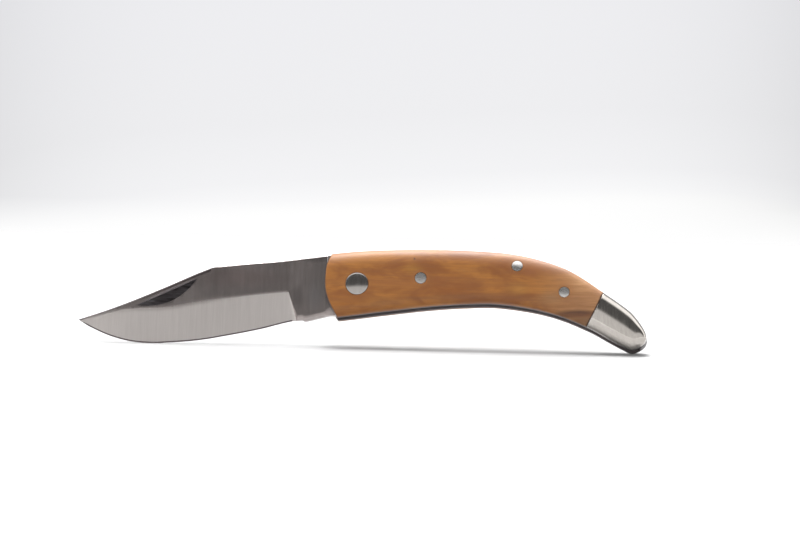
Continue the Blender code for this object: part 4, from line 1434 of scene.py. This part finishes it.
def fill_ramp(ramp, stops):
    """Give a colour ramp its stops, each a place and a colour."""
    while len(ramp.elements) < len(stops):
        ramp.elements.new(1.0)
    for element, (place, colour) in zip(ramp.elements, stops):
        element.position = place
        element.color = opaque(colour)


grey_card, tree, shader, place = card_material("grey_card")
from_foot = vector_maths(tree, "SUBTRACT", place, on_table(0, BACKDROP_AWAY, 0))
sideways = vector_maths(tree, "DOT_PRODUCT", from_foot, stage_right, "Value")
upward = vector_maths(tree, "DOT_PRODUCT", from_foot, table_up, "Value")
off_centre = maths(tree, "SUBTRACT", maths(tree, "DIVIDE", sideways, HALF_WIDTH), MIDDLE)
spread = maths(tree, "POWER", maths(tree, "ABSOLUTE", off_centre), SPREAD_POWER)
spread = maths(tree, "MINIMUM", spread, MOST_SPREAD)
lifted = plus(tree, plus(tree, upward, off_centre, -LEVEL_DROP), spread, SPREAD_DROP)
sweep = add(tree, "ValToRGB", {"Fac": maths(tree, "DIVIDE", lifted, FADE_HEIGHT)})
fill_ramp(sweep.color_ramp, [(place, (grey, grey, blue)) for place, grey, blue in SWEEP])
above_foot = between(tree, upward, 0.0, FOOT_BLEND)
dimmed = mixed_value(tree, above_foot, 1.0, plus(tree, 1.0, spread, -SPREAD_DIM))
direct = seen_directly(tree)
paint = mixed(tree, above_foot, WHITE, sweep.outputs["Color"])
shown = maths(tree, "MULTIPLY", direct, dimmed)
connect(tree, shader, {"Base Color": mixed(tree, direct, CARD_GREY, BLACK),
                       "Emission Color": mixed(tree, shown, BLACK, paint)})
behind = add(tree, "NewGeometry").outputs["Backfacing"]
see_through = add(tree, "BsdfTransparent").outputs["BSDF"]
one_sided = add(tree, "MixShader", {"Fac": behind, 1: shader.outputs["BSDF"], 2: see_through})
connect(tree, tree.nodes["Material Output"], {"Surface": one_sided.outputs["Shader"]})
backdrop.data.materials.append(grey_card)
backdrop.visible_shadow = False
print(grey_card.name)

# %% [markdown]
# Steel shows its surroundings more than its own colour, so the room matters. In front, the
# light stops at about 28 degrees above the table. Above that the room is dark, and overhead
# and behind it is bright again. The camera itself sees only a nearly white ground.

# %% Room
ROOM_STOPS = [(0.0, 0.88), (26.5, 0.88), (30.0, 0.12), (54.0, 0.12), (65.0, 1.7),
              (140.0, 1.7), (180.0, 1.0)]
BACKGROUND = (0.96, 0.96, 0.97)
ROOM_LIGHT = 1.13

world = bpy.data.worlds.new("room")
bpy.context.scene.world = world
world.use_nodes = True
room = world.node_tree
room.nodes.clear()
direction = add(room, "TexCoord").outputs["Generated"]
upward = vector_maths(room, "DOT_PRODUCT", direction, table_up, "Value")
toward = vector_maths(room, "DOT_PRODUCT", direction, -stage_back, "Value")
half_turns = maths(room, "DIVIDE", maths(room, "ARCTAN2", upward, toward), math.pi)
ramp = add(room, "ValToRGB", {"Fac": half_turns})
fill_ramp(ramp.color_ramp, [(degrees / 180, (ROOM_LIGHT * level,) * 3)
                            for degrees, level in ROOM_STOPS])
camera_ray = add(room, "LightPath").outputs["Is Camera Ray"]
seen = mixed(room, camera_ray, ramp.outputs["Color"], BACKGROUND)
light = add(room, "Background", {"Color": seen, "Strength": 1.0})
add(room, "OutputWorld", {"Surface": light.outputs["Background"]})
print("room", ROOM_STOPS)

# %% Lamps
def soft_box(name, right, back, up, size, power):
    """Area lamp above the table, turned to the middle of the knife."""
    lamp_data = bpy.data.lights.new(name, "AREA")
    lamp_data.shape = "RECTANGLE"
    lamp_data.size, lamp_data.size_y = size
    lamp_data.energy = power
    lamp = bpy.data.objects.new(name, lamp_data)
    bpy.context.scene.collection.objects.link(lamp)
    lamp.location = on_table(right, back, up)
    aim = at(0, 0, 0) - lamp.location
    lamp.rotation_euler = aim.to_track_quat("-Z", "Y").to_euler()
    return lamp


soft_box("overhead", 0.05, 0.34, 0.95, (0.9, 0.2), power=27.0)
soft_box("left_fill", -0.9, -0.3, 0.5, (0.4, 0.6), power=1.5)
front = soft_box("front_fill", 0.1, -1.2, 0.4, (1.2, 0.5), power=1.5)
front.visible_glossy = False
print("lamps", [lamp.name for lamp in bpy.data.lights])
